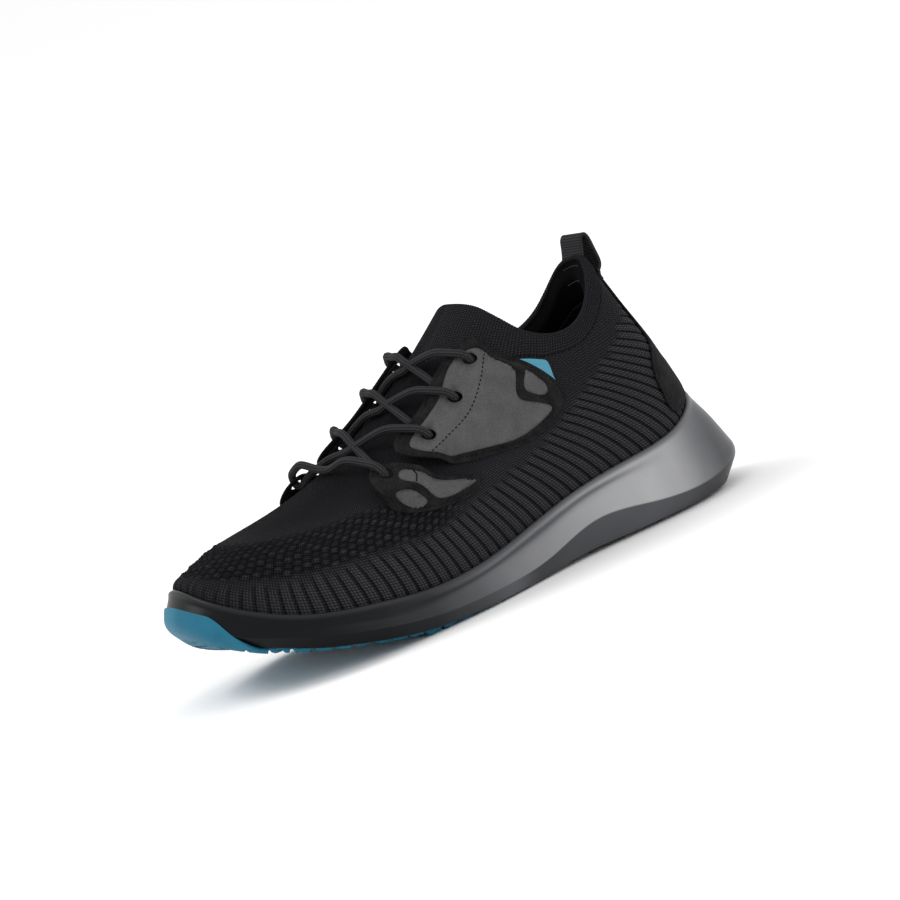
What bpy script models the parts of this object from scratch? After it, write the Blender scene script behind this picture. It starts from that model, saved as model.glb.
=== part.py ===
"""Left running shoe: knit bootie upper, floating lace wings, moulded midsole and rubber outsole.

Toe points to -Y, heel to +Y, outer (lateral) side to +X, sole on z = 0. All lengths are in
millimetres here and are turned into metres when a mesh is made. The nets below are drawn about
the foot's own middle line, and PLAN_CENTRE moves the finished shoe so that the origin is the
centre of its bounding box in plan.
"""
import bmesh
import bpy
import math
import numpy as np
from mathutils import Vector
from mathutils.geometry import delaunay_2d_cdt

MM = 0.001                # metres per millimetre
GAP = 0.3                 # clearance between neighbouring pieces
KNIT = 1.8                # thickness of the knit shell
LINING = 1.0              # thickness of the inner lining
WING_THICK = 1.0          # microsuede wing and heel overlay thickness
REFLECTOR_THICK = 0.5     # reflective underlay thickness
LACE_DIAMETER = 3.6       # round braided lace
WING_LIFT = 4.4           # how far the free throat edge of a wing stands off its stitched part
EYELET_DIAMETER = 6.0     # punched lace hole
OUTSOLE_THICK = 2.3       # rubber under the forefoot
WEBBING_WIDTH = 15.0      # pull tab webbing
WEBBING_THICK = 1.3
LINING_PATCH_THICK = 0.8  # smooth panel over the lining at the heel
PLAN_CENTRE = (1.393, 5.038, 0.0)         # centre of the bounding box, in the nets' frame
TAB_PIVOT = (0.0, 113.6, 119.2)           # where the pull tab loop bends, above the collar
SOCKLINER_PIVOT = (0.0, -122.2, 27.2)     # toe end of the sockliner, where it lifts out
UNDER_GAP = 0.45          # between a wing and the underlay behind its windows
UNDERLAY_MARGIN = 0.7     # reflective underlay hidden behind each window edge
STATION_LENGTH = 15.0     # rough length of one station step and one row step over the instep
ROW_LENGTH = 30.0
STATIONS = 22             # stations round the sole edge: 0 heel, 5 waist, 11 toe, 22 heel again
ROWS = 6                  # rows up the upper: 0 hidden feather edge, 1 midsole lip, 6 top rim
SEAM = 0.01               # half the gap between two knit zones, in stations or rows

# Upper skin, one line per station: lip, low, middle, high, under the collar, rim.
UPPER = np.array([
    [(0, 137.5, 45), (0, 134.5, 57), (0, 128.5, 74), (0, 121.5, 92), (0, 116, 107), (0, 112, 118)],
    [(19, 130, 41), (19, 128, 54), (18, 122.5, 72), (15.5, 116, 90), (13.5, 111, 105), (12, 108.5, 115)],
    [(33, 108, 34), (34, 108, 50), (32, 106, 67), (28, 102, 83), (24.5, 99, 95), (22, 97, 103)],
    [(36, 80, 31), (38, 81, 47), (37, 80, 62), (34, 79.5, 76), (30.5, 80, 87), (28, 82, 94.5)],
    [(37, 50, 28.5), (39.5, 51, 45), (38.5, 53, 61), (35.5, 57, 76), (32.5, 62, 88), (30, 66, 94.5)],
    [(39.5, 20, 23.5), (42, 22, 40), (41, 27, 57), (38, 35, 74), (33, 46, 91), (28.5, 54, 100.5)],
    [(44.5, -12, 18.5), (46.5, -10, 34), (45, -3, 51), (38.5, 11, 69), (31.5, 30, 89), (24.5, 49.5, 106.5)],
    [(48.5, -45, 18), (50, -42, 32), (46, -32, 47.5), (36, -12, 65), (26, 15, 87), (18, 46.5, 113)],
    [(47.5, -75, 22), (47.5, -70, 36), (39, -57, 52), (26, -30, 67), (18, 5, 87), (12, 45, 117)],
    [(37, -106, 29), (34, -99, 43), (25, -82, 56), (15, -48, 66), (10, -3, 85.5), (6, 43.3, 119.3)],
    [(15, -128, 43), (13, -119, 52.5), (7, -98, 60), (3, -60, 65.5), (1, -9, 84.5), (0, 42.3, 120.3)],
    [(-9, -129, 50.5), (-9, -121.5, 56), (-9, -101, 61), (-8, -63, 65.5), (-6, -10, 84), (-5, 42.2, 120.5)],
    [(-27, -122, 46.5), (-25, -115, 54), (-21, -97, 60.5), (-17, -61, 65.5), (-12, -10, 84.5),
     (-9, 43, 120)],
    [(-40, -104, 35), (-38.5, -98, 47), (-32, -83, 58), (-24, -49, 66.5), (-17, -4, 86), (-14, 44, 118.5)],
    [(-46, -77, 26), (-46.5, -72, 39), (-39, -59, 53), (-30, -32, 67.5), (-23, 4, 87.5), (-19, 45.5, 116)],
    [(-46, -45, 21.5), (-47, -42, 34), (-43.5, -32, 49), (-35, -12, 66), (-28, 15, 87.5), (-23.5, 48, 112)],
    [(-41, -12, 21.5), (-43, -10, 36), (-41, -3, 53), (-36.5, 11, 70.5), (-31, 30, 89.5), (-27, 51, 106.5)],
    [(-36.5, 20, 25), (-39, 22, 42), (-38.5, 27, 59), (-36, 35, 75), (-32, 46, 91), (-29, 56, 100)],
    [(-34, 50, 29), (-37.5, 51, 46), (-37, 53, 62), (-34.5, 57, 76), (-31.5, 62, 87.5), (-29, 67, 94)],
    [(-34, 80, 31.5), (-37, 81, 48), (-36, 80, 63), (-33, 79.5, 76), (-29.5, 80, 86), (-27, 82, 92.5)],
    [(-31, 108, 35), (-32, 108, 51), (-30, 106, 67), (-27, 102.5, 82), (-24.5, 99.5, 92), (-23, 98, 99)],
    [(-18, 130, 42), (-18.5, 127.5, 55), (-17, 122, 72.5), (-15.5, 116, 90), (-14, 111, 103),
     (-13, 108.5, 113)],
], float)

# Midsole sidewall, one line per station: bulge, crease, ground edge.
WALL = np.array([
    [(0, 147, 31), (0, 153, 14), (0, 142, 1.2)],
    [(22, 138, 29), (25, 142, 12), (22, 134, 1.0)],
    [(36.5, 110, 24), (39.5, 113, 8.5), (35.5, 110, 1.0)],
    [(39, 80.5, 24), (43, 81, 11), (38.5, 80, 1.0)],
    [(39.5, 50, 22), (43, 50, 14.5), (39, 49, 1.6)],
    [(42, 20, 16), (44.5, 20, 8), (42.5, 19, 2.6)],
    [(47.5, -12, 13), (50.5, -12, 6), (48.5, -12, 2.9)],
    [(51.5, -46, 12), (53.5, -46, 7), (51, -46, 2.9)],
    [(50, -79, 16), (51.5, -80, 12.5), (48.5, -79, 8.2)],
    [(39, -110, 25), (40, -112, 21.5), (37, -109, 16.2)],
    [(16, -133, 38), (17, -135, 32), (16, -131, 25.5)],
    [(-9, -136, 44), (-9, -137.5, 37.5), (-9, -133, 31)],
    [(-29, -127, 39.5), (-30, -128, 34), (-28, -124, 27.5)],
    [(-43, -105, 29), (-44, -106, 24), (-41, -104, 18)],
    [(-49, -78, 19.5), (-50, -79, 13.5), (-47, -78, 9)],
    [(-49, -45, 15), (-50, -45, 8), (-47.5, -45, 2.9)],
    [(-44, -12, 15), (-45.5, -12, 7), (-42.5, -12, 2.9)],
    [(-38.5, 20, 19), (-38.5, 20, 12), (-34, 19, 3.6)],
    [(-36.5, 50, 23), (-38.5, 50, 15), (-33, 49, 2.6)],
    [(-37, 80.5, 24), (-41, 81, 11), (-36.5, 80, 1.0)],
    [(-34.5, 110, 24), (-38, 113, 8.5), (-34, 110, 1.0)],
    [(-21, 138, 29), (-24, 142, 12), (-21, 134, 1.0)],
], float)

# Line down the middle of the foot where the sole surfaces close, heel to toe.
SPINE = ((0, 122), (0, 116), (0, 102), (0, 80), (1, 50), (2, 20), (3, -12), (2, -45), (0, -75),
         (-3, -97), (-6, -108), (-8, -113))

# Height of the top of the midsole under the foot, and of the tread below it, along the shoe.
ALONG = (-145, -132, -120, -105, -90, -75, -60, -45, -10, 20, 50, 80, 110, 145)
FOOTBED = (37, 31.5, 26.5, 22, 19, 16.5, 15, 14.5, 15, 18.5, 23.5, 26, 27.5, 29)
TREAD = (35, 23.5, 17.5, 12, 8, 4.6, 1.9, 0, 0, 0, 0, 0, 0, 0)


def cubic_slopes(points, closed):
    """Slopes of the smooth cubic through evenly numbered points (first axis)."""
    count = len(points)
    matrix = np.zeros((count, count))
    right = np.zeros_like(points)
    for i in range(count):
        if closed or 0 < i < count - 1:
            matrix[i, i] = 4.0
            matrix[i, (i - 1) % count] += 1.0
            matrix[i, (i + 1) % count] += 1.0
            right[i] = 3.0 * (points[(i + 1) % count] - points[(i - 1) % count])
    if not closed:
        matrix[0, :2] = (2.0, 1.0)
        right[0] = 3.0 * (points[1] - points[0])
        matrix[-1, -2:] = (1.0, 2.0)
        right[-1] = 3.0 * (points[-1] - points[-2])
    return np.linalg.solve(matrix, right.reshape(count, -1)).reshape(points.shape)


def hermite(start, end, slope_start, slope_end, f):
    square = f * f
    cube = square * f
    return ((2 * cube - 3 * square + 1) * start + (cube - 2 * square + f) * slope_start
            + (3 * square - 2 * cube) * end + (cube - square) * slope_end)


def around(net, s):
    """Net columns at stations s, running smoothly round the closed sole edge."""
    s = np.asarray(s, float) % STATIONS
    low = np.floor(s).astype(int) % STATIONS
    high = (low + 1) % STATIONS
    f = (s - np.floor(s)).reshape((-1,) + (1,) * (net.ndim - 1))
    slopes = cubic_slopes(net, True)
    return hermite(net[low], net[high], slopes[low], slopes[high], f)


def smooth_line(points, count, closed=False):
    """Points spaced evenly in parameter along a smooth curve through hand-set points."""
    points = np.asarray(points, float)
    spans = len(points) if closed else len(points) - 1
    slopes = cubic_slopes(points, closed)
    where = np.linspace(0, spans, count, endpoint=not closed)
    low = np.minimum(where.astype(int), spans - 1)
    high = (low + 1) % len(points)
    f = (where - low)[:, None]
    return hermite(points[low], points[high], slopes[low], slopes[high], f)


def smoothstep(low, high, value):
    f = np.clip((np.asarray(value, float) - low) / (high - low), 0, 1)
    return f * f * (3 - 2 * f)


def spine_columns():
    return np.array([SPINE[min(i, STATIONS - i)] for i in range(STATIONS)], float)


def upper_net():
    """The upper's columns with the hidden feather edge added below the lip."""
    inset = 4.5
    feather = UPPER[:, 0].copy()
    inward = spine_columns() - feather[:, :2]
    inward /= np.linalg.norm(inward, axis=1)[:, None]
    feather[:, :2] += inset * inward
    feather[:, 2] = np.interp(feather[:, 1], ALONG, FOOTBED) + 1.0
    return np.concatenate([feather[:, None], UPPER], 1)


NET = upper_net()


def skin(s, r):
    """Outer face of the knit at station s and row r."""
    s, r = np.broadcast_arrays(np.asarray(s, float), np.asarray(r, float))
    shape = s.shape
    s = s.ravel()
    r = r.ravel()
    columns = np.moveaxis(around(NET, s), 1, 0)
    slopes = cubic_slopes(columns, False)
    low = np.clip(np.floor(r).astype(int), 0, ROWS - 1)
    k = np.arange(len(s))
    point = hermite(columns[low, k], columns[low + 1, k], slopes[low, k], slopes[low + 1, k],
                    (r - low)[:, None])
    return point.reshape(shape + (3,))


def skin_normal(s, r):
    step = 0.02
    along = skin(np.add(s, step), r) - skin(np.subtract(s, step), r)
    rise = skin(s, np.add(r, step)) - skin(s, np.subtract(r, step))
    normal = np.cross(rise, along)
    return normal / np.linalg.norm(normal, axis=-1, keepdims=True)


def layer(s, r, offset):
    """Points a given distance outside the knit's outer face (negative is inside)."""
    return skin(s, r) + skin_normal(s, r) * np.asarray(offset, float)[..., None]


def from_heel(s):
    """Stations away from the heel centre, the same on both sides."""
    s = np.asarray(s, float) % STATIONS
    return np.minimum(s, STATIONS - s)


def fill_depth(s, r):
    """Room between the knit and the lining for padding and stiffeners."""
    away = from_heel(s)
    counter = 1.9 * (1 - smoothstep(3.2, 4.0, away)) * (1 - smoothstep(3.6, 4.2, r))
    collar = 5.0 * (1 - smoothstep(5.6, 7.0, away)) * smoothstep(3.6, 4.7, r)
    tongue = 2.6 * smoothstep(7.4, 8.6, away) * smoothstep(3.9, 4.6, r)
    toe = 1.5 * smoothstep(8.2, 9.0, away) * (1 - smoothstep(2.2, 2.8, r))
    rim = 1 - smoothstep(5.3, 6.0, r)
    return 0.45 + (counter + toe) + (collar + tongue) * rim


def lining_face(s, r):
    """Offset of the lining's inner face, the wall of the foot cavity."""
    return -(KNIT + fill_depth(s, r) + LINING)


def material(name, colour, roughness, metallic=0.0):
    shader = bpy.data.materials.new(name)
    shader.use_nodes = True
    inputs = shader.node_tree.nodes["Principled BSDF"].inputs
    inputs["Base Color"].default_value = (*colour, 1.0)
    inputs["Roughness"].default_value = roughness
    inputs["Metallic"].default_value = metallic
    shader.diffuse_color = (*colour, 1.0)
    return shader


def add_mesh(name, points, faces, shader, pivot=PLAN_CENTRE):
    """One closed body in metres about its pivot, seams merged and faces turned outward."""
    mesh = bpy.data.meshes.new(name)
    shifted = (np.asarray(points, float) - np.asarray(pivot, float)) * MM
    mesh.from_pydata(shifted.tolist(), [], faces)
    bm = bmesh.new()
    bm.from_mesh(mesh)
    bmesh.ops.remove_doubles(bm, verts=bm.verts, dist=2e-6)
    bmesh.ops.dissolve_degenerate(bm, dist=1e-6, edges=bm.edges)
    bmesh.ops.recalc_face_normals(bm, faces=bm.faces)
    bm.to_mesh(mesh)
    bm.free()
    thing = bpy.data.objects.new(name, mesh)
    thing.location = (np.asarray(pivot, float) - np.asarray(PLAN_CENTRE, float)) * MM
    bpy.context.scene.collection.objects.link(thing)
    thing.data.materials.append(shader)
    return thing


def grid_shell(outer, inner, closed, seam=False):
    """Points and faces of a solid between two matching grids of points.

    With seam set, the last points of each row meet their twins on the middle line, so that side
    stays open.
    """
    rows, columns = outer.shape[:2]
    points = np.concatenate([outer.reshape(-1, 3), inner.reshape(-1, 3)])
    back = rows * columns
    faces = []
    spans = rows if closed else rows - 1
    for i in range(spans):
        a = i * columns
        b = ((i + 1) % rows) * columns
        for j in range(columns - 1):
            faces.append((a + j, b + j, b + j + 1, a + j + 1))
            faces.append((back + a + j + 1, back + b + j + 1, back + b + j, back + a + j))
        faces.append((a, back + a, back + b, b))
        top = columns - 1
        if not seam:
            faces.append((a + top, b + top, back + b + top, back + a + top))
    if not closed:
        for row, turn in ((0, 1), (rows - 1, -1)):
            for j in range(columns - 1):
                a = row * columns + j
                side = (a, a + 1, back + a + 1, back + a)
                faces.append(side[::turn])
    return points, faces


def skin_shell(name, stations, rows, outer, inner, shader, closed=False):
    """Solid shell between two offsets of the upper's skin."""
    s, r = np.meshgrid(stations, rows, indexing="ij")
    outside = layer(s, r, outer(s, r))
    inside = layer(s, r, inner(s, r))
    points, faces = grid_shell(outside, inside, closed)
    return add_mesh(name, points, faces, shader)


def ring_stack(name, rings, cap_rows, shader, pivot=PLAN_CENTRE):
    """Solid from closed rings, its ends filled toward the foot's middle line.

    cap_rows gives, for the first and last ring, the ring of points on the middle line.
    """
    count = len(rings[0])
    levels = [cap_rows[0], *rings, cap_rows[1]]
    points = np.concatenate(levels)
    faces = []
    for level in range(len(levels) - 1):
        for i in range(count):
            j = (i + 1) % count
            a = level * count
            b = (level + 1) * count
            faces.append((a + i, a + j, b + j, b + i))
    return add_mesh(name, points, faces, shader, pivot)


def cap_middle(stations, height):
    """Ring folded onto the foot's middle line at a height given along the shoe."""
    middle = around(spine_columns(), stations)
    twin = around(spine_columns(), STATIONS - np.asarray(stations))
    middle = (middle + twin) / 2
    return np.column_stack([middle, height(middle[:, 1])])


def footbed(y):
    return np.interp(y, ALONG, FOOTBED)


def tread(y):
    return np.interp(y, ALONG, TREAD)


def inset_ring(stations, inset, height):
    """Feather edge moved inward in plan by inset, at a height given along the shoe."""
    edge = skin(stations, 0.0)
    inward = around(spine_columns(), stations) - edge[:, :2]
    inward /= np.linalg.norm(inward, axis=1)[:, None]
    plan = edge[:, :2] + inward * np.asarray(inset, float).reshape(-1, 1)
    return np.column_stack([plan, height(plan[:, 1])])


def inside(points, loop):
    """Which of the plan points lie inside a closed loop."""
    x = points[:, 0]
    y = points[:, 1]
    result = np.zeros(len(points), bool)
    ends = np.roll(loop, -1, 0)
    for (ax, ay), (bx, by) in zip(loop, ends):
        crosses = (ay > y) != (by > y)
        reach = ax + (y - ay) * (bx - ax) / (by - ay if by != ay else 1.0)
        result ^= crosses & (x < reach)
    return result


def outline_loop(outline, spacing):
    """Smooth closed loop of (station, row) points about evenly spaced on the skin."""
    fine = smooth_line(outline, 40 * len(outline), closed=True)
    places = skin(fine[:, 0], fine[:, 1])
    steps = np.linalg.norm(np.roll(places, -1, 0) - places, axis=1)
    length = np.concatenate([[0.0], np.cumsum(steps)])
    count = max(10, round(length[-1] / spacing))
    where = np.arange(count) * length[-1] / count
    closed = np.concatenate([fine, fine[:1]])
    return np.column_stack([np.interp(where, length, closed[:, k]) for k in range(2)])


def round_hole(s, r, diameter, sides=16):
    """Loop of (station, row) points that is a circle on the skin."""
    step = 0.02
    along = (skin(s + step, r) - skin(s - step, r)) / (2 * step)
    rise = (skin(s, r + step) - skin(s, r - step)) / (2 * step)
    normal = skin_normal(s, r)
    side = along / np.linalg.norm(along)
    other = np.cross(normal, side)
    loop = []
    frame = np.column_stack([along, rise])
    for k in range(sides):
        angle = 2 * math.pi * k / sides
        target = (side * math.cos(angle) + other * math.sin(angle)) * diameter / 2
        change = np.linalg.lstsq(frame, target, rcond=None)[0]
        loop.append((s + change[0], r + change[1]))
    return np.array(loop)


def plate_triangles(outline, holes, spacing):
    """Plan points and triangles filling an outline less its holes."""
    scale = np.array([STATION_LENGTH, ROW_LENGTH])
    loops = [np.asarray(loop) * scale for loop in [outline, *holes]]
    low = loops[0].min(0)
    high = loops[0].max(0)
    across = np.arange(low[0] + spacing / 2, high[0], spacing)
    upward = np.arange(low[1] + spacing / 2, high[1], spacing)
    grid = np.array([(x + (spacing / 2 if k % 2 else 0), y) for k, y in enumerate(upward) for x in across])
    keep = inside(grid, loops[0])
    for loop in loops[1:]:
        keep &= ~inside(grid, loop)
    for loop in loops:
        ring = np.concatenate([loop, loop[:1]])
        keep &= distance_to(grid, ring) > spacing * 0.55
    points = [*loops, grid[keep]]
    edges = []
    first = 0
    for loop in loops:
        count = len(loop)
        edges += [(first + k, first + (k + 1) % count) for k in range(count)]
        first += count
    flat = [Vector(point) for point in np.concatenate(points)]
    result = delaunay_2d_cdt(flat, edges, [], 0, 1e-5)
    plan = np.array([tuple(point) for point in result[0]])
    triangles = np.array(result[2])
    centres = plan[triangles].mean(1)
    keep = inside(centres, loops[0])
    for loop in loops[1:]:
        keep &= ~inside(centres, loop)
    return plan / scale, triangles[keep]


def skin_plate(name, outline, holes, base, thickness, shader, spacing=5.0, flip=False):
    """Sheet piece of any outline lying over the knit, base millimetres above it."""
    plan, triangles = plate_triangles(outline_loop(outline, spacing * 0.7), holes, spacing)
    low = base(plan[:, 0], plan[:, 1])
    s = STATIONS - plan[:, 0] if flip else plan[:, 0]
    top = layer(s, plan[:, 1], low + thickness)
    bottom = layer(s, plan[:, 1], low)
    count = len(plan)
    faces = [tuple(int(k) for k in face) for face in triangles]
    faces += [tuple(int(k) + count for k in face[::-1]) for face in triangles]
    used = {}
    for face in triangles:
        for a, b in zip(face, np.roll(face, -1)):
            used[(int(a), int(b))] = True
    for a, b in used:
        if (b, a) not in used:
            faces.append((b, a, a + count, b + count))
    return add_mesh(name, np.concatenate([top, bottom]), faces, shader)


def distance_to(points, line):
    """Shortest distance from each point to a line of points."""
    best = np.full(points.shape[:-1], 1e9)
    for start, end in zip(line[:-1], line[1:]):
        span = end - start
        f = np.clip(((points - start) @ span) / (span @ span), 0, 1)
        nearest = start + f[..., None] * span
        best = np.minimum(best, np.linalg.norm(points - nearest, axis=-1))
    return best


def sole_columns(stations):
    """Outer face of the midsole from the lip, down the sidewall and across to the middle line."""
    lip = skin(stations, 1.0)
    edge = around(WALL, stations)
    middle = around(spine_columns(), stations)
    outward = edge[:, 0, :2] - middle
    outward /= np.linalg.norm(outward, axis=1)[:, None]
    rows = []
    for out, up in ((0.7, 0.7), (2.3, 0.5), (2.9, -1.8)):
        rows.append(np.column_stack([lip[:, :2] + outward * out, lip[:, 2] + up]))
    rows.extend([edge[:, 0], edge[:, 1], edge[:, 2]])
    ground = edge[:, 2]
    for share in (0.08, 0.16, 0.4, 0.7, 1.0):
        plan = ground[:, :2] + (middle - ground[:, :2]) * share
        height = under_foot(plan[:, 1])
        if share == 0.08:
            height = np.minimum(height, ground[:, 2] + 0.1)
        rows.append(np.column_stack([plan, height]))
    return corner_cut(np.stack(rows, 1))


def under_foot(y):
    """Underside of the midsole, above the rubber, raised under the arch."""
    arch = 2.2 * smoothstep(-5, 20, y) * (1 - smoothstep(45, 66, y))
    return tread(y) + OUTSOLE_THICK + GAP + arch


def corner_cut(columns):
    """Columns with every corner between their first and last point rounded once."""
    first = columns[:, :-1] * 0.75 + columns[:, 1:] * 0.25
    second = columns[:, :-1] * 0.25 + columns[:, 1:] * 0.75
    paired = np.stack([first, second], 2).reshape(len(columns), -1, 3)
    return np.concatenate([columns[:, :1], paired[:, 1:-1], columns[:, -1:]], 1)


def grid_normals(grid, closed):
    """Outward normals of a grid of points whose rows run downward round the sole."""
    if closed:
        along = np.roll(grid, -1, 0) - np.roll(grid, 1, 0)
    else:
        along = np.gradient(grid, axis=0)
    down = np.gradient(grid, axis=1)
    normal = np.cross(along, down)
    normal[:, -1] = (0.0, 0.0, -1.0)
    length = np.linalg.norm(normal, axis=-1, keepdims=True)
    return normal / np.maximum(length, 1e-9)


def build_midsole():
    outer = sole_columns(STATION_SET)
    rings = [outer[:, k] for k in range(outer.shape[1] - 2, -1, -1)]
    clearance = np.full(len(STATION_SET), GAP + 0.1)
    for row in (1.0, 0.5, 0.0):
        rings.append(layer(STATION_SET, np.full(len(STATION_SET), row), clearance))
    floor = rings[-1].copy()
    floor[:, 2] = footbed(floor[:, 1])
    rings.append(floor)
    bottom = outer[:, -1]
    top = cap_middle(STATION_SET, footbed)
    return ring_stack("midsole", rings, (bottom, top), RUBBERY_FOAM)


def build_forefoot_outsole():
    """Rubber under the forefoot, its front turned up over the toe."""
    stations = np.arange(6.0, 16.01, 1 / 3)
    base = sole_columns(stations)
    normal = grid_normals(base, False)
    rows = base.shape[1]
    lip_row = 5.0
    ground_row = 9.6
    flap = smoothstep(9.25, 10.15, stations) * (1 - smoothstep(11.85, 12.75, stations))
    start = ground_row + (lip_row - ground_row) * flap
    inner = []
    outer = []
    for i in range(len(stations)):
        where = np.linspace(start[i], rows - 1, 15)
        low = np.minimum(where.astype(int), rows - 2)
        f = (where - low)[:, None]
        point = base[i, low] * (1 - f) + base[i, low + 1] * f
        way = normal[i, low] * (1 - f) + normal[i, low + 1] * f
        way /= np.linalg.norm(way, axis=1)[:, None]
        inner.append(point + way * (4 + 2.5 * flap[i]) * GAP)
        outer.append(point + way * (GAP + OUTSOLE_THICK + 0.8 * flap[i]))
    inner = np.array(inner)
    outer = np.array(outer)
    level = np.minimum(outer[..., 2], inner[..., 2] - 1.2)
    flat = outer[..., 2] < 1.4
    outer[..., 2] = np.where(flat, 0.0, level)
    points, faces = grid_shell(outer, inner, False, seam=True)
    return add_mesh("outsole_forefoot", points, faces, BLUE_RUBBER)


def build_heel_outsole():
    """Horseshoe of rubber under the heel."""
    stations = np.arange(-4.0, 4.01, 1 / 3)
    ground = around(WALL, stations)[:, 2]
    middle = around(spine_columns(), stations)
    shares = np.linspace(0.24, 0.72, 5)
    plan = ground[:, None, :2] + (middle[:, None] - ground[:, None, :2]) * shares[None, :, None]
    bottom = np.concatenate([plan, np.zeros(plan.shape[:2] + (1,))], 2)
    top = bottom.copy()
    top[..., 2] = OUTSOLE_THICK
    points, faces = grid_shell(bottom, top, False)
    return add_mesh("outsole_heel", points, faces, BLACK_RUBBER)


def build_inner_plate(name, inset, low, high, stations, shader, pivot=PLAN_CENTRE):
    """Flat-edged plate lying along the footbed inside the upper."""
    faces = (lambda y: footbed(y) + low, lambda y: footbed(y) + high)
    rings = [inset_ring(stations, inset, face) for face in faces]
    caps = [cap_middle(stations, face) for face in faces]
    return ring_stack(name, rings, caps, shader, pivot)


def edge_line(outline, first, last):
    """Part of an outline as points on the skin, from knot first to knot last."""
    part = smooth_line(outline[first:last + 1], 6 * (last - first) + 1)
    return skin(part[:, 0], part[:, 1])


def wing_base(throat, stitched):
    """Height of a wing's inner face above the knit: close at the stitching, lifted at the throat."""
    def base(s, r):
        points = skin(s, r)
        from_throat = distance_to(points, throat)
        from_stitch = distance_to(points, stitched)
        lift = WING_LIFT * (1 - smoothstep(22, 33, from_throat)) * smoothstep(1.0, 9.0, from_stitch)
        return GAP + REFLECTOR_THICK + UNDER_GAP + lift
    return base


def grown(outline, margin):
    """Window outline moved outward, for the underlay behind it."""
    scale = np.array([STATION_LENGTH, ROW_LENGTH])
    places = np.array(outline) * scale
    along = np.roll(places, -1, 0) - np.roll(places, 1, 0)
    along /= np.linalg.norm(along, axis=1)[:, None]
    outward = np.column_stack([along[:, 1], -along[:, 0]])
    area = np.sum(places[:, 0] * np.roll(places[:, 1], -1) - places[:, 1] * np.roll(places[:, 0], -1))
    if area < 0:
        outward = -outward
    return [tuple(place) for place in (places + outward * margin) / scale]


def build_wing(side, part_name, outline, throat_knots, stitch_knots, windows, eyelets):
    """A microsuede wing with windows, the reflective underlays behind them and lace holes."""
    flip = side == "medial"
    base = wing_base(edge_line(outline, *throat_knots), edge_line(outline, *stitch_knots))
    holes = [round_hole(s, r, EYELET_DIAMETER) for s, r in eyelets]
    openings = [outline_loop(window, 3.5) for window_name, window in windows]
    through = [hole for hole in holes if not any(inside(hole[:1], opening)[0] for opening in openings)]
    skin_plate(f"wing_{side}_{part_name}", outline, openings + through, base, WING_THICK, SUEDE, flip=flip)
    for window_name, window in windows:
        def lower(s, r):
            return base(s, r) - UNDER_GAP - REFLECTOR_THICK
        shape = grown(window, UNDERLAY_MARGIN)
        punched = holes if window_name == "main" else []
        skin_plate(f"reflector_{side}_{window_name}", shape, punched, lower, REFLECTOR_THICK, REFLECTIVE,
                   flip=flip)


def row_on_plane(s, origin, normal):
    """Row at which the skin at station s crosses a plane."""
    rows = np.linspace(2.5, 5.95, 139)
    height = (skin(np.full(len(rows), s), rows) - origin) @ normal
    order = 1 if height[-1] > height[0] else -1
    return float(np.interp(0.0, height[::order], rows[::order]))


def strand(start, end, heights):
    """Lace points between two eyelets, kept in one plane; heights holds (share, height) pairs."""
    a = skin(*start)
    b = skin(*end)
    up = skin_normal(*start) + skin_normal(*end) + 2 * skin_normal(11.0, 4.7)
    normal = np.cross(b - a, up)
    normal /= np.linalg.norm(normal)
    line = []
    for share, height in heights:
        s = start[0] + (end[0] - start[0]) * share
        row = row_on_plane(s, a, normal)
        line.append(layer(s, row, height))
    return line


def lace_route():
    """Centre line of the lace from one tucked end to the other."""
    under = LACE_DIAMETER / 2 + GAP + 0.2
    over = LACE_DIAMETER / 2 + WING_LIFT + REFLECTOR_THICK + UNDER_GAP + WING_THICK + 2 * GAP + 0.2
    middle = (under + over) / 2
    crossing = under + LACE_DIAMETER + GAP
    lateral = [tuple(place) for place in EYELETS]
    medial = [(STATIONS - s, r) for s, r in EYELETS]
    rise = ((0.028, under), (0.08, under), (0.16, under), (0.3, under))
    fall = ((0.74, over - 1.6), (0.84, over), (0.92, over), (0.972, over))
    upper = (*rise, (0.42, crossing - 1.3), (0.5, crossing), (0.6, crossing + 0.6), *fall)
    lower = (*rise, (0.42, under + 0.1), (0.5, under + 0.2), (0.6, under + 1.3), *fall)
    bar = ((0.028, over), (0.08, over), (0.16, over), (0.26, over - 1.6), (0.4, under + 1.0),
           (0.5, under + 0.4), (0.6, under + 1.0), *fall)
    tail = ((-0.17, 5.24), (-0.4, 5.13), (-0.62, 4.98), (-0.72, 4.8), (-0.7, 4.64), (-0.62, 4.5))

    def hole(place):
        return [layer(*place, middle)]

    def tucked(place, direction):
        s = place[0]
        return [layer(s + direction * ds, r, under) for ds, r in tail]

    half = []
    ends = (lateral, medial)
    for near in (0, 1):
        line = []
        for k in range(3):
            start = ends[(near + k) % 2][k]
            end = ends[(near + k + 1) % 2][k + 1]
            heights = upper if (near + k) % 2 == 0 else lower
            line += hole(start) + strand(start, end, heights)
        last = ends[(near + 3) % 2][3]
        line += hole(last) + tucked(last, 1 if last[0] < STATIONS / 2 else -1)
        half.append(line)
    across = strand(medial[0], lateral[0], bar)
    return np.array(half[1][::-1] + across + half[0])


def tube(name, points, diameter, resolution, shader):
    curve = bpy.data.curves.new(name, "CURVE")
    curve.dimensions = "3D"
    curve.bevel_depth = diameter / 2 * MM
    curve.bevel_resolution = resolution
    curve.use_fill_caps = True
    spline = curve.splines.new("POLY")
    spline.points.add(len(points) - 1)
    for knot, point in zip(spline.points, points):
        knot.co = (*((point - np.asarray(PLAN_CENTRE)) * MM), 1.0)
    thing = bpy.data.objects.new(name, curve)
    bpy.context.scene.collection.objects.link(thing)
    curve.materials.append(shader)
    return thing


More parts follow.
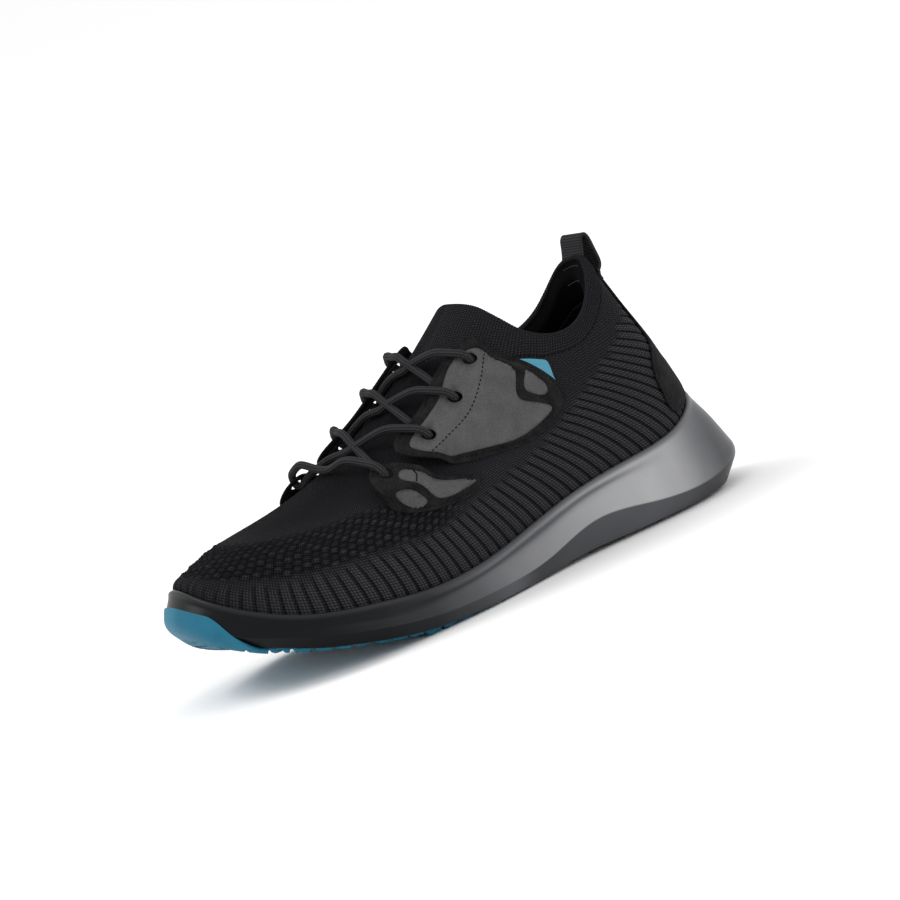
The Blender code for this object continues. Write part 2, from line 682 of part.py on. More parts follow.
def build_lace():
    route = lace_route()
    count = len(route)
    fine = smooth_line(route, (count - 1) * 4 + 1)
    steps = np.concatenate([[0.0], np.cumsum(np.linalg.norm(np.diff(fine, axis=0), axis=1))])
    aglet = 14.0
    total = steps[-1]
    knots = 150
    way = np.diff(fine, axis=0)
    way /= np.linalg.norm(way, axis=1)[:, None]
    turn = np.arccos(np.clip(np.sum(way[1:] * way[:-1], axis=1), -1, 1))
    effort = steps + 5.0 * np.concatenate([[0.0], np.cumsum(turn), [np.sum(turn)]])
    ends = np.interp((aglet + 0.8, total - aglet - 0.8), steps, effort)
    where = np.interp(np.linspace(*ends, knots), effort, steps)
    line = np.column_stack([np.interp(where, steps, fine[:, k]) for k in range(3)])
    tube("lace", line, LACE_DIAMETER, 2, LACE)
    for name, low, high in (("aglet_medial", 0.0, aglet), ("aglet_lateral", total - aglet, total)):
        where = np.linspace(low, high, 5)
        line = np.column_stack([np.interp(where, steps, fine[:, k]) for k in range(3)])
        tube(name, line, LACE_DIAMETER - 0.4, 2, PLASTIC)


def webbing(name, centre, shader, pivot):
    """Strip of webbing following a centre line in the y-z plane."""
    centre = np.asarray(centre, float)
    along = np.gradient(centre, axis=0)
    along /= np.linalg.norm(along, axis=1)[:, None]
    side = np.column_stack([along[:, 1], -along[:, 0]])
    widths = np.linspace(-WEBBING_WIDTH / 2, WEBBING_WIDTH / 2, 3)
    faces_out = []
    for turn in (1, -1):
        path = centre + side * turn * WEBBING_THICK / 2
        grid = np.array([[(x, y, z) for x in widths] for y, z in path])
        faces_out.append(grid)
    points, faces = grid_shell(faces_out[0], faces_out[1], False)
    return add_mesh(name, points, faces, shader, pivot)


def build_pull_tab():
    """Webbing loop on the heel: one leg sewn inside the collar, one outside, a free loop between."""
    half = WEBBING_THICK / 2
    rows = np.array([4.75, 5.0, 5.35, 5.7, 5.9])
    skin_shell("pull_tab_inner_leg", np.linspace(-1.15, 1.15, 9), rows,
               lambda s, r: lining_face(s, r) - GAP - 0.2,
               lambda s, r: lining_face(s, r) - GAP - 0.2 - WEBBING_THICK, WEBBING)
    skin_shell("pull_tab_outer_leg", np.linspace(-0.6, 0.6, 7), rows,
               lambda s, r: np.full_like(s, 3 * GAP + WING_THICK + WEBBING_THICK),
               lambda s, r: np.full_like(s, 3 * GAP + WING_THICK), WEBBING)
    inner = layer(0.0, 6.0, float(lining_face(0.0, 6.0)) - GAP - half)
    outer = layer(0.0, 6.0, 3 * GAP + WING_THICK + half)
    foot = TAB_PIVOT[2] + 1.2
    loop = smooth_line([(inner[1], foot), (inner[1] + 0.7, 122.6), (111.6, 125.7), (114.0, 126.6),
                        (116.4, 125.5), (outer[1] + 0.1, 122.4), (outer[1], foot)], 17)
    webbing("pull_tab_loop", loop, WEBBING, TAB_PIVOT)


def build_knit_zone(name, first, last, low, high):
    """One zone of the knit shell, drawn back from its neighbours by a thin seam."""
    rows = SKIN_ROWS[(SKIN_ROWS >= low) & (SKIN_ROWS <= high)].copy()
    if low > 0:
        rows[0] += SEAM
    if high < ROWS:
        rows[-1] -= SEAM
    closed = last - first == STATIONS
    stations = STATION_SET.copy()
    if not closed:
        stations = span(first, last)
        stations[0] += SEAM
        stations[-1] -= SEAM
    skin_shell(name, stations, rows, lambda s, r: np.zeros_like(r),
               lambda s, r: np.full_like(r, -KNIT), KNIT_FABRIC, closed=closed)


def build_lining():
    rows = SKIN_ROWS.copy()
    rows[0] = 0.3
    rows[-1] = 5.97
    skin_shell("inner_lining", STATION_SET, rows, lambda s, r: -(KNIT + fill_depth(s, r)),
               lining_face, LINING_FABRIC, closed=True)


def build_filling(name, stations, rows, shader):
    """Piece that fills the room between knit and lining over part of the upper."""
    skin_shell(name, stations, np.array(rows), lambda s, r: np.full_like(r, -(KNIT + 1.3 * GAP)),
               lambda s, r: -(KNIT + fill_depth(s, r) - 1.6 * GAP), shader)


def span(low, high):
    return np.arange(low, high + 0.01, 1 / 3)


def build_stiffeners():
    build_filling("heel_counter", span(-3.0, 3.0), (1.0, 1.5, 2.0, 2.5, 3.0, 3.5), STIFF_BOARD)
    build_filling("toe_puff", span(9.3333, 12.6667), (1.0, 1.5, 2.0), STIFF_BOARD)
    build_filling("collar_foam", span(-6.0, 6.0), (4.5, 5.0, 5.35, 5.7), FOAM)
    build_filling("tongue_foam", span(9.0, 13.0), (4.5, 5.0, 5.35, 5.7), FOAM)


def build_heel():
    shape = HEEL_SIDE + [(-s, r) for s, r in HEEL_SIDE[::-1]]
    window = HEEL_WINDOW + [(-s, r) for s, r in HEEL_WINDOW[::-1]]
    skin_plate("heel_overlay", shape, [outline_loop(window, 3.0)], lambda s, r: np.full_like(s, GAP + 0.1),
               WING_THICK, SUEDE)
    skin_plate("heel_reflector", grown(window, -0.6), [], lambda s, r: np.full_like(s, GAP),
               WING_THICK - 0.2, REFLECTIVE, spacing=3.0)
    skin_shell("heel_lining_panel", span(-2.0, 2.0), np.array([2.0, 2.5, 3.0, 3.5, 4.0, 4.5]),
               lambda s, r: lining_face(s, r) - GAP,
               lambda s, r: lining_face(s, r) - GAP - LINING_PATCH_THICK, LINING_PATCH)


def build_accent(side):
    """Small coloured tab tucked under the rear of the main wing."""
    skin_plate(f"accent_tab_{side}", ACCENT, [], lambda s, r: np.full_like(s, GAP), 0.5, TEAL,
               flip=side == "medial")


for leftover in list(bpy.data.objects):
    bpy.data.objects.remove(leftover, do_unlink=True)

KNIT_FABRIC = material("knit_fabric", (0.012, 0.013, 0.016), 0.9)
LINING_FABRIC = material("lining_fabric", (0.008, 0.008, 0.009), 0.95)
LINING_PATCH = material("lining_patch", (0.02, 0.02, 0.022), 0.7)
FOAM = material("padding_foam", (0.2, 0.2, 0.21), 0.95)
STIFF_BOARD = material("stiffener_board", (0.35, 0.3, 0.24), 0.9)
SUEDE = material("microsuede", (0.006, 0.006, 0.007), 0.85)
REFLECTIVE = material("reflective_film", (0.11, 0.11, 0.11), 0.45)
TEAL = material("teal_fabric", (0.1, 0.33, 0.43), 0.6)
LACE = material("braided_lace", (0.035, 0.035, 0.038), 0.8)
PLASTIC = material("aglet_plastic", (0.02, 0.02, 0.02), 0.3)
WEBBING = material("ribbed_webbing", (0.012, 0.012, 0.013), 0.8)
RUBBERY_FOAM = material("moulded_foam", (0.025, 0.027, 0.03), 0.35)
BLUE_RUBBER = material("blue_rubber", (0.02, 0.16, 0.24), 0.5)
BLACK_RUBBER = material("black_rubber", (0.015, 0.015, 0.016), 0.6)
BOARD = material("strobel_board", (0.5, 0.48, 0.42), 0.95)
INSOLE = material("sockliner_foam", (0.04, 0.04, 0.045), 0.9)

STATION_SET = np.arange(0, STATIONS, 1 / 3)
SKIN_ROWS = np.array([0, 0.5, 1, 1.5, 2, 2.5, 3, 3.5, 4, 4.5, 5, 5.35, 5.7, 6.0])

# Zones of the knit: first and last station, low and high row.
FRONT = (7 + 1 / 3, 14 + 2 / 3)
KNIT_ZONES = (
    ("knit_vamp", *FRONT, 0.0, 3.5),
    ("knit_tongue", *FRONT, 3.5, 5.0),
    ("knit_quarter_lateral", 0.0, FRONT[0], 0.0, 5.0),
    ("knit_quarter_medial", FRONT[1], 22.0, 0.0, 5.0),
    ("ribbed_cuff", 0.0, 22.0, 5.0, 6.0),
)
EYELETS = ((8.0, 3.74), (7.4, 4.32), (7.0, 4.8), (6.9, 5.3))
UPPER_WING = [(7.35, 5.58), (7.85, 5.4), (8.05, 5.1), (7.97, 4.85), (8.05, 4.6), (8.2, 4.38), (8.05, 4.17),
              (7.75, 4.03), (7.2, 3.92), (6.6, 3.74), (5.9, 3.43), (5.3, 3.14), (4.85, 2.97),
              (4.35, 2.95), (3.98, 3.15), (3.88, 3.5), (4.03, 3.97), (4.45, 4.47), (5.14, 4.95),
              (5.94, 5.33), (6.65, 5.53)]
LOWER_WING = [(8.27, 3.72), (8.27, 3.93), (7.8, 3.9), (7.4, 3.81), (6.97, 3.68), (6.5, 3.45), (6.1, 3.2),
              (5.95, 2.97), (6.1, 2.82), (6.63, 2.95), (7.15, 3.05), (7.65, 3.16), (7.97, 3.39)]
MAIN_WINDOW = [(7.05, 5.43), (6.5, 5.38), (5.75, 5.05), (5.38, 4.7), (5.28, 4.38), (5.12, 4.1),
               (4.83, 3.88), (4.42, 3.57), (4.33, 3.3), (4.96, 3.22), (5.63, 3.47), (6.47, 3.82),
               (7.3, 4.03), (7.72, 4.16), (7.8, 4.3), (7.72, 4.49), (7.56, 4.71), (7.5, 4.92),
               (7.58, 5.15), (7.48, 5.34)]
SMALL_WINDOW = [(4.95, 4.62), (5.07, 4.5), (5.02, 4.26), (4.74, 4.0), (4.42, 3.8), (4.33, 3.92),
                (4.52, 4.26)]
LOWER_WINDOW = [(7.72, 3.78), (7.17, 3.65), (6.6, 3.42), (6.2, 3.18), (6.14, 3.07), (6.52, 3.1),
                (6.93, 3.2), (7.22, 3.4), (7.45, 3.53), (7.7, 3.61)]
OVAL_WINDOW = [(7.72, 3.36), (7.62, 3.42), (7.42, 3.39), (7.2, 3.27), (7.12, 3.19), (7.25, 3.15),
               (7.5, 3.22)]
ACCENT = [(5.15, 4.98), (4.7, 4.93), (4.3, 4.78), (4.08, 4.58), (3.97, 4.3), (3.97, 4.02), (4.14, 4.1),
          (4.45, 4.42), (4.8, 4.68), (5.12, 4.9)]
HEEL_SIDE = [(0.2, 5.5), (0.42, 5.3), (0.6, 4.8), (0.8, 4.2), (0.98, 3.6), (1.2, 3.15), (1.65, 2.92),
             (1.93, 2.55), (1.95, 2.0), (1.8, 1.45), (1.3, 1.25), (0.6, 1.22)]
HEEL_WINDOW = [(0.25, 3.1), (0.5, 2.85), (0.6, 2.5), (0.5, 2.15), (0.25, 1.95)]

build_midsole()
build_forefoot_outsole()
build_heel_outsole()
fill_at_edge = KNIT + fill_depth(STATION_SET, np.full(len(STATION_SET), 0.3)) + LINING
build_inner_plate("strobel_board", KNIT + GAP + 0.2, 0.3, 1.7, STATION_SET, BOARD)
build_inner_plate("sockliner", fill_at_edge + 0.8, 2.1, 6.1, STATION_SET, INSOLE, SOCKLINER_PIVOT)
for zone in KNIT_ZONES:
    build_knit_zone(*zone)
build_lining()
build_stiffeners()
build_heel()
for side in ("lateral", "medial"):
    build_wing(side, "upper", UPPER_WING, (0, 7), (9, 19), (("main", MAIN_WINDOW), ("small", SMALL_WINDOW)),
               EYELETS[1:])
    build_wing(side, "lower", LOWER_WING, (0, 2), (4, 11), (("lower", LOWER_WINDOW), ("oval", OVAL_WINDOW)),
               EYELETS[:1])
    build_accent(side)
build_lace()
build_pull_tab()
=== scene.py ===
"""Left running shoe, dressed: knit bootie, lace wings, braided lace, moulded sole.

Lengths are in millimetres in the shoe's own nets and become metres when a mesh is made. Places on
the upper are (station, row) pairs: stations run round the sole edge from the heel centre (0) by the
lateral side to the toe (11) and back by the medial side (22); rows run from the hidden feather edge
(0) past the midsole lip (1) to the top rim (6).
"""
import math

import bpy
import numpy as np
from mathutils import Matrix, Vector
from mathutils.geometry import delaunay_2d_cdt


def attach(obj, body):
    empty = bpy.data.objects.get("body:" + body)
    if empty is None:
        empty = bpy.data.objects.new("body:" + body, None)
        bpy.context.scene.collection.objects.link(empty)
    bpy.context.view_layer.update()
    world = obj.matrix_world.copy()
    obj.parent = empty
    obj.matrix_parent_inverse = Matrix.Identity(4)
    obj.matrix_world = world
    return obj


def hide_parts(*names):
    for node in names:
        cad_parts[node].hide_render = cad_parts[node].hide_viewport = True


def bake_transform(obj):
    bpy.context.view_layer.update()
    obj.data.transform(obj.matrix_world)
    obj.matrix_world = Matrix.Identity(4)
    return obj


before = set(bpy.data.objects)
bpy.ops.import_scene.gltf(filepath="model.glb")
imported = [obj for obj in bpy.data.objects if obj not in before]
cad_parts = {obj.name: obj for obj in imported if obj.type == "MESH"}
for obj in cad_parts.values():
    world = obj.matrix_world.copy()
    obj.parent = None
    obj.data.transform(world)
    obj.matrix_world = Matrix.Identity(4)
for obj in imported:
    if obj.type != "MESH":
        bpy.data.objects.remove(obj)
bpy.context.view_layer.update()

MM = 0.001
PLAN_CENTRE = np.array((1.393, 5.038, 0.0))   # centre of the bounding box, in the nets' frame
STATIONS = 22
ROWS = 6
STATION_LENGTH = 30.0     # rough true length of one station step and one row step
ROW_LENGTH = 20.0
GAP = 0.3                 # clearance between neighbouring pieces
KNIT = 1.8
LINING = 1.0
WING_THICK = 1.0
WING_LIFT = 4.4           # how far the free throat edge of a wing stands off
WING_SEAT = 1.25          # height of a wing's inner face where it carries the film behind it
STITCHED_SEAT = 0.15      # height of a wing's inner face at its sewn edge
FILM_THICK = 0.5
FILM_LIFT = 0.1            # film above the inner face of its wing
STITCH_RISE = 0.06         # stitch centres above the floor of their channel
CHANNEL_INSET = 1.7        # stitched channel round the edge of the suede
CHANNEL_DEPTH = 0.45
LACE_DIAMETER = 3.6
LACE_SEAT = 1.25
EYELET_DIAMETER = 6.0
OUTSOLE_THICK = 2.3
WEBBING_WIDTH = 15.0
WEBBING_THICK = 1.3
RIB_PITCH = 6.2            # between rib grooves along the lip
BUBBLE_PITCH = 3.9
BUBBLE_RISE = 3.5
UV_SCALE = 0.01           # UV units per millimetre
PER_METRE = (1000.0, 1000.0, 1000.0)   # turns metres into millimetres for a texture

# Camera, as angles of the shoe's own axes.
AZIMUTH = 57.0
ELEVATION = 8.5
ROLL = 18.5
CAMERA_DISTANCE = 2.5
CAMERA_LENS = 230.0
AIM_RIGHT = -0.0063
AIM_UP = 0.0625

# Upper skin, one line per station: lip, low, middle, high, under the collar, rim.
UPPER = np.array([
    [(0, 137.5, 45), (0, 134.5, 57), (0, 128.5, 74), (0, 121.5, 92), (0, 116, 107), (0, 112, 118)],
    [(19, 130, 41), (19, 128, 54), (18, 122.5, 72), (15.5, 116, 90), (13.5, 111, 105), (12, 108.5, 115)],
    [(33, 108, 34), (34, 108, 50), (32, 106, 67), (28, 102, 83), (24.5, 99, 95), (22, 97, 103)],
    [(36, 80, 31), (38, 81, 47), (37, 80, 62), (34, 79.5, 76), (30.5, 80, 87), (28, 82, 94.5)],
    [(37, 50, 28.5), (39.5, 51, 45), (38.5, 53, 61), (35.5, 57, 76), (32.5, 62, 88), (30, 66, 94.5)],
    [(39.5, 20, 23.5), (42, 22, 40), (41, 27, 57), (38, 35, 74), (33, 46, 91), (28.5, 54, 100.5)],
    [(44.5, -12, 18.5), (46.5, -10, 34), (45, -3, 51), (38.5, 11, 69), (31.5, 30, 89), (24.5, 49.5, 106.5)],
    [(48.5, -45, 18), (50, -42, 32), (46, -32, 47.5), (36, -12, 65), (26, 15, 87), (18, 46.5, 113)],
    [(47.5, -75, 22), (47.5, -70, 36), (39, -57, 52), (26, -30, 67), (18, 5, 87), (12, 45, 117)],
    [(37, -106, 29), (34, -99, 43), (25, -82, 56), (15, -48, 66), (10, -3, 85.5), (6, 43.3, 119.3)],
    [(15, -128, 43), (13, -119, 52.5), (7, -98, 60), (3, -60, 65.5), (1, -9, 84.5), (0, 42.3, 120.3)],
    [(-9, -129, 50.5), (-9, -121.5, 56), (-9, -101, 61), (-8, -63, 65.5), (-6, -10, 84), (-5, 42.2, 120.5)],
    [(-27, -122, 46.5), (-25, -115, 54), (-21, -97, 60.5), (-17, -61, 65.5), (-12, -10, 84.5),
     (-9, 43, 120)],
    [(-40, -104, 35), (-38.5, -98, 47), (-32, -83, 58), (-24, -49, 66.5), (-17, -4, 86), (-14, 44, 118.5)],
    [(-46, -77, 26), (-46.5, -72, 39), (-39, -59, 53), (-30, -32, 67.5), (-23, 4, 87.5), (-19, 45.5, 116)],
    [(-46, -45, 21.5), (-47, -42, 34), (-43.5, -32, 49), (-35, -12, 66), (-28, 15, 87.5),
     (-23.5, 48, 112)],
    [(-41, -12, 21.5), (-43, -10, 36), (-41, -3, 53), (-36.5, 11, 70.5), (-31, 30, 89.5),
     (-27, 51, 106.5)],
    [(-36.5, 20, 25), (-39, 22, 42), (-38.5, 27, 59), (-36, 35, 75), (-32, 46, 91), (-29, 56, 100)],
    [(-34, 50, 29), (-37.5, 51, 46), (-37, 53, 62), (-34.5, 57, 76), (-31.5, 62, 87.5), (-29, 67, 94)],
    [(-34, 80, 31.5), (-37, 81, 48), (-36, 80, 63), (-33, 79.5, 76), (-29.5, 80, 86), (-27, 82, 92.5)],
    [(-31, 108, 35), (-32, 108, 51), (-30, 106, 67), (-27, 102.5, 82), (-24.5, 99.5, 92), (-23, 98, 99)],
    [(-18, 130, 42), (-18.5, 127.5, 55), (-17, 122, 72.5), (-15.5, 116, 90), (-14, 111, 103),
     (-13, 108.5, 113)],
], float)

# Midsole sidewall, one line per station: bulge, crease, ground edge.
WALL = np.array([
    [(0, 147, 31), (0, 153, 14), (0, 142, 1.2)],
    [(22, 138, 29), (25, 142, 12), (22, 134, 1.0)],
    [(36.5, 110, 24), (39.5, 113, 8.5), (35.5, 110, 1.0)],
    [(39, 80.5, 24), (43, 81, 11), (38.5, 80, 1.0)],
    [(39.5, 50, 22), (43, 50, 14.5), (39, 49, 1.6)],
    [(42, 20, 16), (44.5, 20, 8), (42.5, 19, 2.6)],
    [(47.5, -12, 13), (50.5, -12, 6), (48.5, -12, 2.9)],
    [(51.5, -46, 12), (53.5, -46, 7), (51, -46, 2.9)],
    [(50, -79, 16), (51.5, -80, 12.5), (48.5, -79, 8.2)],
    [(39, -110, 25), (40, -112, 21.5), (37, -109, 16.2)],
    [(16, -133, 38), (17, -135, 32), (16, -131, 25.5)],
    [(-9, -136, 44), (-9, -137.5, 37.5), (-9, -133, 31)],
    [(-29, -127, 39.5), (-30, -128, 34), (-28, -124, 27.5)],
    [(-43, -105, 29), (-44, -106, 24), (-41, -104, 18)],
    [(-49, -78, 19.5), (-50, -79, 13.5), (-47, -78, 9)],
    [(-49, -45, 15), (-50, -45, 8), (-47.5, -45, 2.9)],
    [(-44, -12, 15), (-45.5, -12, 7), (-42.5, -12, 2.9)],
    [(-38.5, 20, 19), (-38.5, 20, 12), (-34, 19, 3.6)],
    [(-36.5, 50, 23), (-38.5, 50, 15), (-33, 49, 2.6)],
    [(-37, 80.5, 24), (-41, 81, 11), (-36.5, 80, 1.0)],
    [(-34.5, 110, 24), (-38, 113, 8.5), (-34, 110, 1.0)],
    [(-21, 138, 29), (-24, 142, 12), (-21, 134, 1.0)],
], float)

SPINE = ((0, 122), (0, 116), (0, 102), (0, 80), (1, 50), (2, 20), (3, -12), (2, -45), (0, -75),
         (-3, -97), (-6, -108), (-8, -113))
ALONG = (-145, -132, -120, -105, -90, -75, -60, -45, -10, 20, 50, 80, 110, 145)
FOOTBED = (37, 31.5, 26.5, 22, 19, 16.5, 15, 14.5, 15, 18.5, 23.5, 26, 27.5, 29)
TREAD = (38, 28, 22, 15.5, 10, 5.6, 2.2, 0, 0, 0, 0, 0, 0, 0)

# Outlines on the lateral side, as (station, row) knots.
EYELETS = ((8.0, 3.74), (7.4, 4.32), (7.0, 4.8), (6.9, 5.3))
UPPER_WING = [(7.35, 5.58), (7.85, 5.4), (8.05, 5.1), (7.97, 4.85), (8.05, 4.6), (8.2, 4.38), (8.05, 4.17),
              (7.75, 4.03), (7.2, 3.92), (6.6, 3.74), (5.9, 3.43), (5.3, 3.14), (4.85, 2.97),
              (4.35, 2.95), (3.98, 3.15), (3.88, 3.5), (4.03, 3.97), (4.45, 4.47), (5.14, 4.95),
              (5.94, 5.33), (6.65, 5.53)]
LOWER_WING = [(8.27, 3.72), (8.27, 3.93), (7.8, 3.9), (7.4, 3.81), (6.97, 3.68), (6.5, 3.45), (6.1, 3.2),
              (5.95, 2.97), (6.1, 2.82), (6.63, 2.95), (7.15, 3.05), (7.65, 3.16), (7.97, 3.39)]
MAIN_WINDOW = [(7.05, 5.43), (6.5, 5.38), (5.75, 5.05), (5.38, 4.7), (5.28, 4.38), (5.12, 4.1),
               (4.83, 3.88), (4.42, 3.57), (4.33, 3.3), (4.96, 3.22), (5.63, 3.47), (6.47, 3.82),
               (7.3, 4.03), (7.72, 4.16), (7.8, 4.3), (7.72, 4.49), (7.56, 4.71), (7.5, 4.92),
               (7.58, 5.15), (7.48, 5.34)]
SMALL_WINDOW = [(4.95, 4.62), (5.07, 4.5), (5.02, 4.26), (4.74, 4.0), (4.42, 3.8), (4.33, 3.92),
                (4.52, 4.26)]
LOWER_WINDOW = [(7.72, 3.78), (7.17, 3.65), (6.6, 3.42), (6.2, 3.18), (6.14, 3.07), (6.52, 3.1),
                (6.93, 3.2), (7.22, 3.4), (7.45, 3.53), (7.7, 3.61)]
OVAL_WINDOW = [(7.72, 3.36), (7.62, 3.42), (7.42, 3.39), (7.2, 3.27), (7.12, 3.19), (7.25, 3.15),
               (7.5, 3.22)]
ACCENT = [(5.25, 4.97), (5.11, 4.95), (4.68, 4.83), (4.42, 4.75), (4.32, 4.72), (4.25, 4.67), (4.21, 4.6),
          (4.15, 4.43), (4.1, 4.2), (4.05, 4.02), (4.02, 3.95), (4.12, 3.97), (4.45, 4.3), (4.8, 4.6),
          (5.1, 4.83), (5.24, 4.91)]
HEEL_SIDE = [(0.2, 5.12), (0.42, 5.02), (0.6, 4.7), (0.79, 4.2), (0.98, 3.6), (1.2, 3.15), (1.65, 2.92),
             (1.93, 2.55), (1.95, 2.0), (1.8, 1.45), (1.3, 1.25), (0.6, 1.22)]
HEEL_WINDOW = [(0.45, 3.2), (0.8, 3.08), (1.03, 2.8), (0.97, 2.5), (0.5, 2.25)]
FILM_STITCH = [(6.48, 5.38), (6.37, 5.05), (6.39, 4.68), (6.56, 4.41), (6.86, 4.25), (7.2, 4.04)]
LOWER_STITCH = [(7.5, 3.74), (7.42, 3.66), (7.4, 3.55)]

# Zones of the knit, by stations away from the heel.
CUFF_ROW = ((0, 2, 3, 4.3, 5, 7, 10, 11), (5.1, 5.1, 4.9, 4.82, 5.0, 5.45, 5.5, 5.5))
RIB_TOP = ((0, 2, 2.9, 4, 4.8, 6, 7, 8, 9, 10, 11),
           (4.2, 4.1, 3.85, 2.95, 2.6, 2.6, 2.5, 2.2, 1.95, 1.6, 1.5))
RIB_LEAN = ((0, 4, 5.5, 7, 9, 10.5, 11), (1.1, 1.1, 0.85, 0.6, 0.25, 0, 0))
# Midsole lightness along the shoe (y): the foam's grey rising from black at the toe, with a painted
# reflection peaking on the heel side and painted shade at the rear end.
SOLE_TONE_AND_REFLECTION = ((-145, -100, -75, -50, -25, 0, 20, 50, 80, 100, 115, 130, 152),
             (0.001, 0.001, 0.004, 0.02, 0.07, 0.15, 0.2, 0.29, 0.34, 0.29, 0.15, 0.065, 0.045))
# Painted highlight line along the midsole lip, by y.
LIP_HIGHLIGHT = ((-145, -50, 50, 150), (0.012, 0.02, 0.1, 0.12))


def cubic_slopes(points, closed):
    """Slopes of the smooth cubic through evenly numbered points (first axis)."""
    count = len(points)
    matrix = np.zeros((count, count))
    right = np.zeros_like(points)
    for i in range(count):
        if closed or 0 < i < count - 1:
            matrix[i, i] = 4.0
            matrix[i, (i - 1) % count] += 1.0
            matrix[i, (i + 1) % count] += 1.0
            right[i] = 3.0 * (points[(i + 1) % count] - points[(i - 1) % count])
    if not closed:
        matrix[0, :2] = (2.0, 1.0)
        right[0] = 3.0 * (points[1] - points[0])
        matrix[-1, -2:] = (1.0, 2.0)
        right[-1] = 3.0 * (points[-1] - points[-2])
    return np.linalg.solve(matrix, right.reshape(count, -1)).reshape(points.shape)


def hermite(start, end, slope_start, slope_end, f):
    square = f * f
    cube = square * f
    return ((2 * cube - 3 * square + 1) * start + (cube - 2 * square + f) * slope_start
            + (3 * square - 2 * cube) * end + (cube - square) * slope_end)


def around(net, s):
    """Net columns at stations s, running smoothly round the closed sole edge."""
    s = np.asarray(s, float) % STATIONS
    low = np.floor(s).astype(int) % STATIONS
    high = (low + 1) % STATIONS
    f = (s - np.floor(s)).reshape((-1,) + (1,) * (net.ndim - 1))
    slopes = cubic_slopes(net, True)
    return hermite(net[low], net[high], slopes[low], slopes[high], f)


def smooth_line(points, count, closed=False):
    """Points spaced evenly in parameter along a smooth curve through given points."""
    points = np.asarray(points, float)
    spans = len(points) if closed else len(points) - 1
    slopes = cubic_slopes(points, closed)
    where = np.linspace(0, spans, count, endpoint=not closed)
    low = np.minimum(where.astype(int), spans - 1)
    high = (low + 1) % len(points)
    f = (where - low)[:, None]
    return hermite(points[low], points[high], slopes[low], slopes[high], f)


def smoothstep(low, high, value):
    f = np.clip((np.asarray(value, float) - low) / (high - low), 0, 1)
    return f * f * (3 - 2 * f)


def spine_columns():
    return np.array([SPINE[min(i, STATIONS - i)] for i in range(STATIONS)], float)


def upper_net():
    """The upper's columns with the hidden feather edge added below the lip."""
    feather = UPPER[:, 0].copy()
    inward = spine_columns() - feather[:, :2]
    inward /= np.linalg.norm(inward, axis=1)[:, None]
    feather[:, :2] += 4.5 * inward
    feather[:, 2] = np.interp(feather[:, 1], ALONG, FOOTBED) + 1.0
    return np.concatenate([feather[:, None], UPPER], 1)


NET = upper_net()


def skin(s, r):
    """Outer face of the knit at station s and row r."""
    s, r = np.broadcast_arrays(np.asarray(s, float), np.asarray(r, float))
    shape = s.shape
    s = s.ravel()
    r = r.ravel()
    columns = np.moveaxis(around(NET, s), 1, 0)
    slopes = cubic_slopes(columns, False)
    low = np.clip(np.floor(r).astype(int), 0, ROWS - 1)
    k = np.arange(len(s))
    point = hermite(columns[low, k], columns[low + 1, k], slopes[low, k], slopes[low + 1, k],
                    (r - low)[:, None])
    return point.reshape(shape + (3,))


def skin_normal(s, r):
    step = 0.02
    along = skin(np.add(s, step), r) - skin(np.subtract(s, step), r)
    rise = skin(s, np.add(r, step)) - skin(s, np.subtract(r, step))
    normal = np.cross(rise, along)
    return normal / np.linalg.norm(normal, axis=-1, keepdims=True)


def layer(s, r, offset):
    """Points a given distance outside the knit's outer face (negative is inside)."""
    return skin(s, r) + skin_normal(s, r) * np.asarray(offset, float)[..., None]


def from_heel(s):
    s = np.asarray(s, float) % STATIONS
    return np.minimum(s, STATIONS - s)


def fill_depth(s, r):
    """Room between the knit and the lining for padding and stiffeners."""
    away = from_heel(s)
    counter = 1.9 * (1 - smoothstep(3.2, 4.0, away)) * (1 - smoothstep(3.6, 4.2, r))
    collar = 5.0 * (1 - smoothstep(5.6, 7.0, away)) * smoothstep(3.6, 4.7, r)
    tongue = 2.6 * smoothstep(7.4, 8.6, away) * smoothstep(3.9, 4.6, r)
    toe = 1.5 * smoothstep(8.2, 9.0, away) * (1 - smoothstep(2.2, 2.8, r))
    rim = 1 - smoothstep(5.3, 6.0, r)
    return 0.45 + (counter + toe) + (collar + tongue) * rim


def lining_face(s, r):
    """Offset of the lining's inner face, the wall of the foot cavity."""
    return -(KNIT + fill_depth(s, r) + LINING)


def waves(value, pitch, sharp):
    """Rounded ridges of height 1 with narrow grooves between them."""
    phase = np.abs(np.sin(np.pi * np.asarray(value) / pitch))
    return 1 - (1 - phase) ** sharp


# Materials ---------------------------------------------------------------------------------------

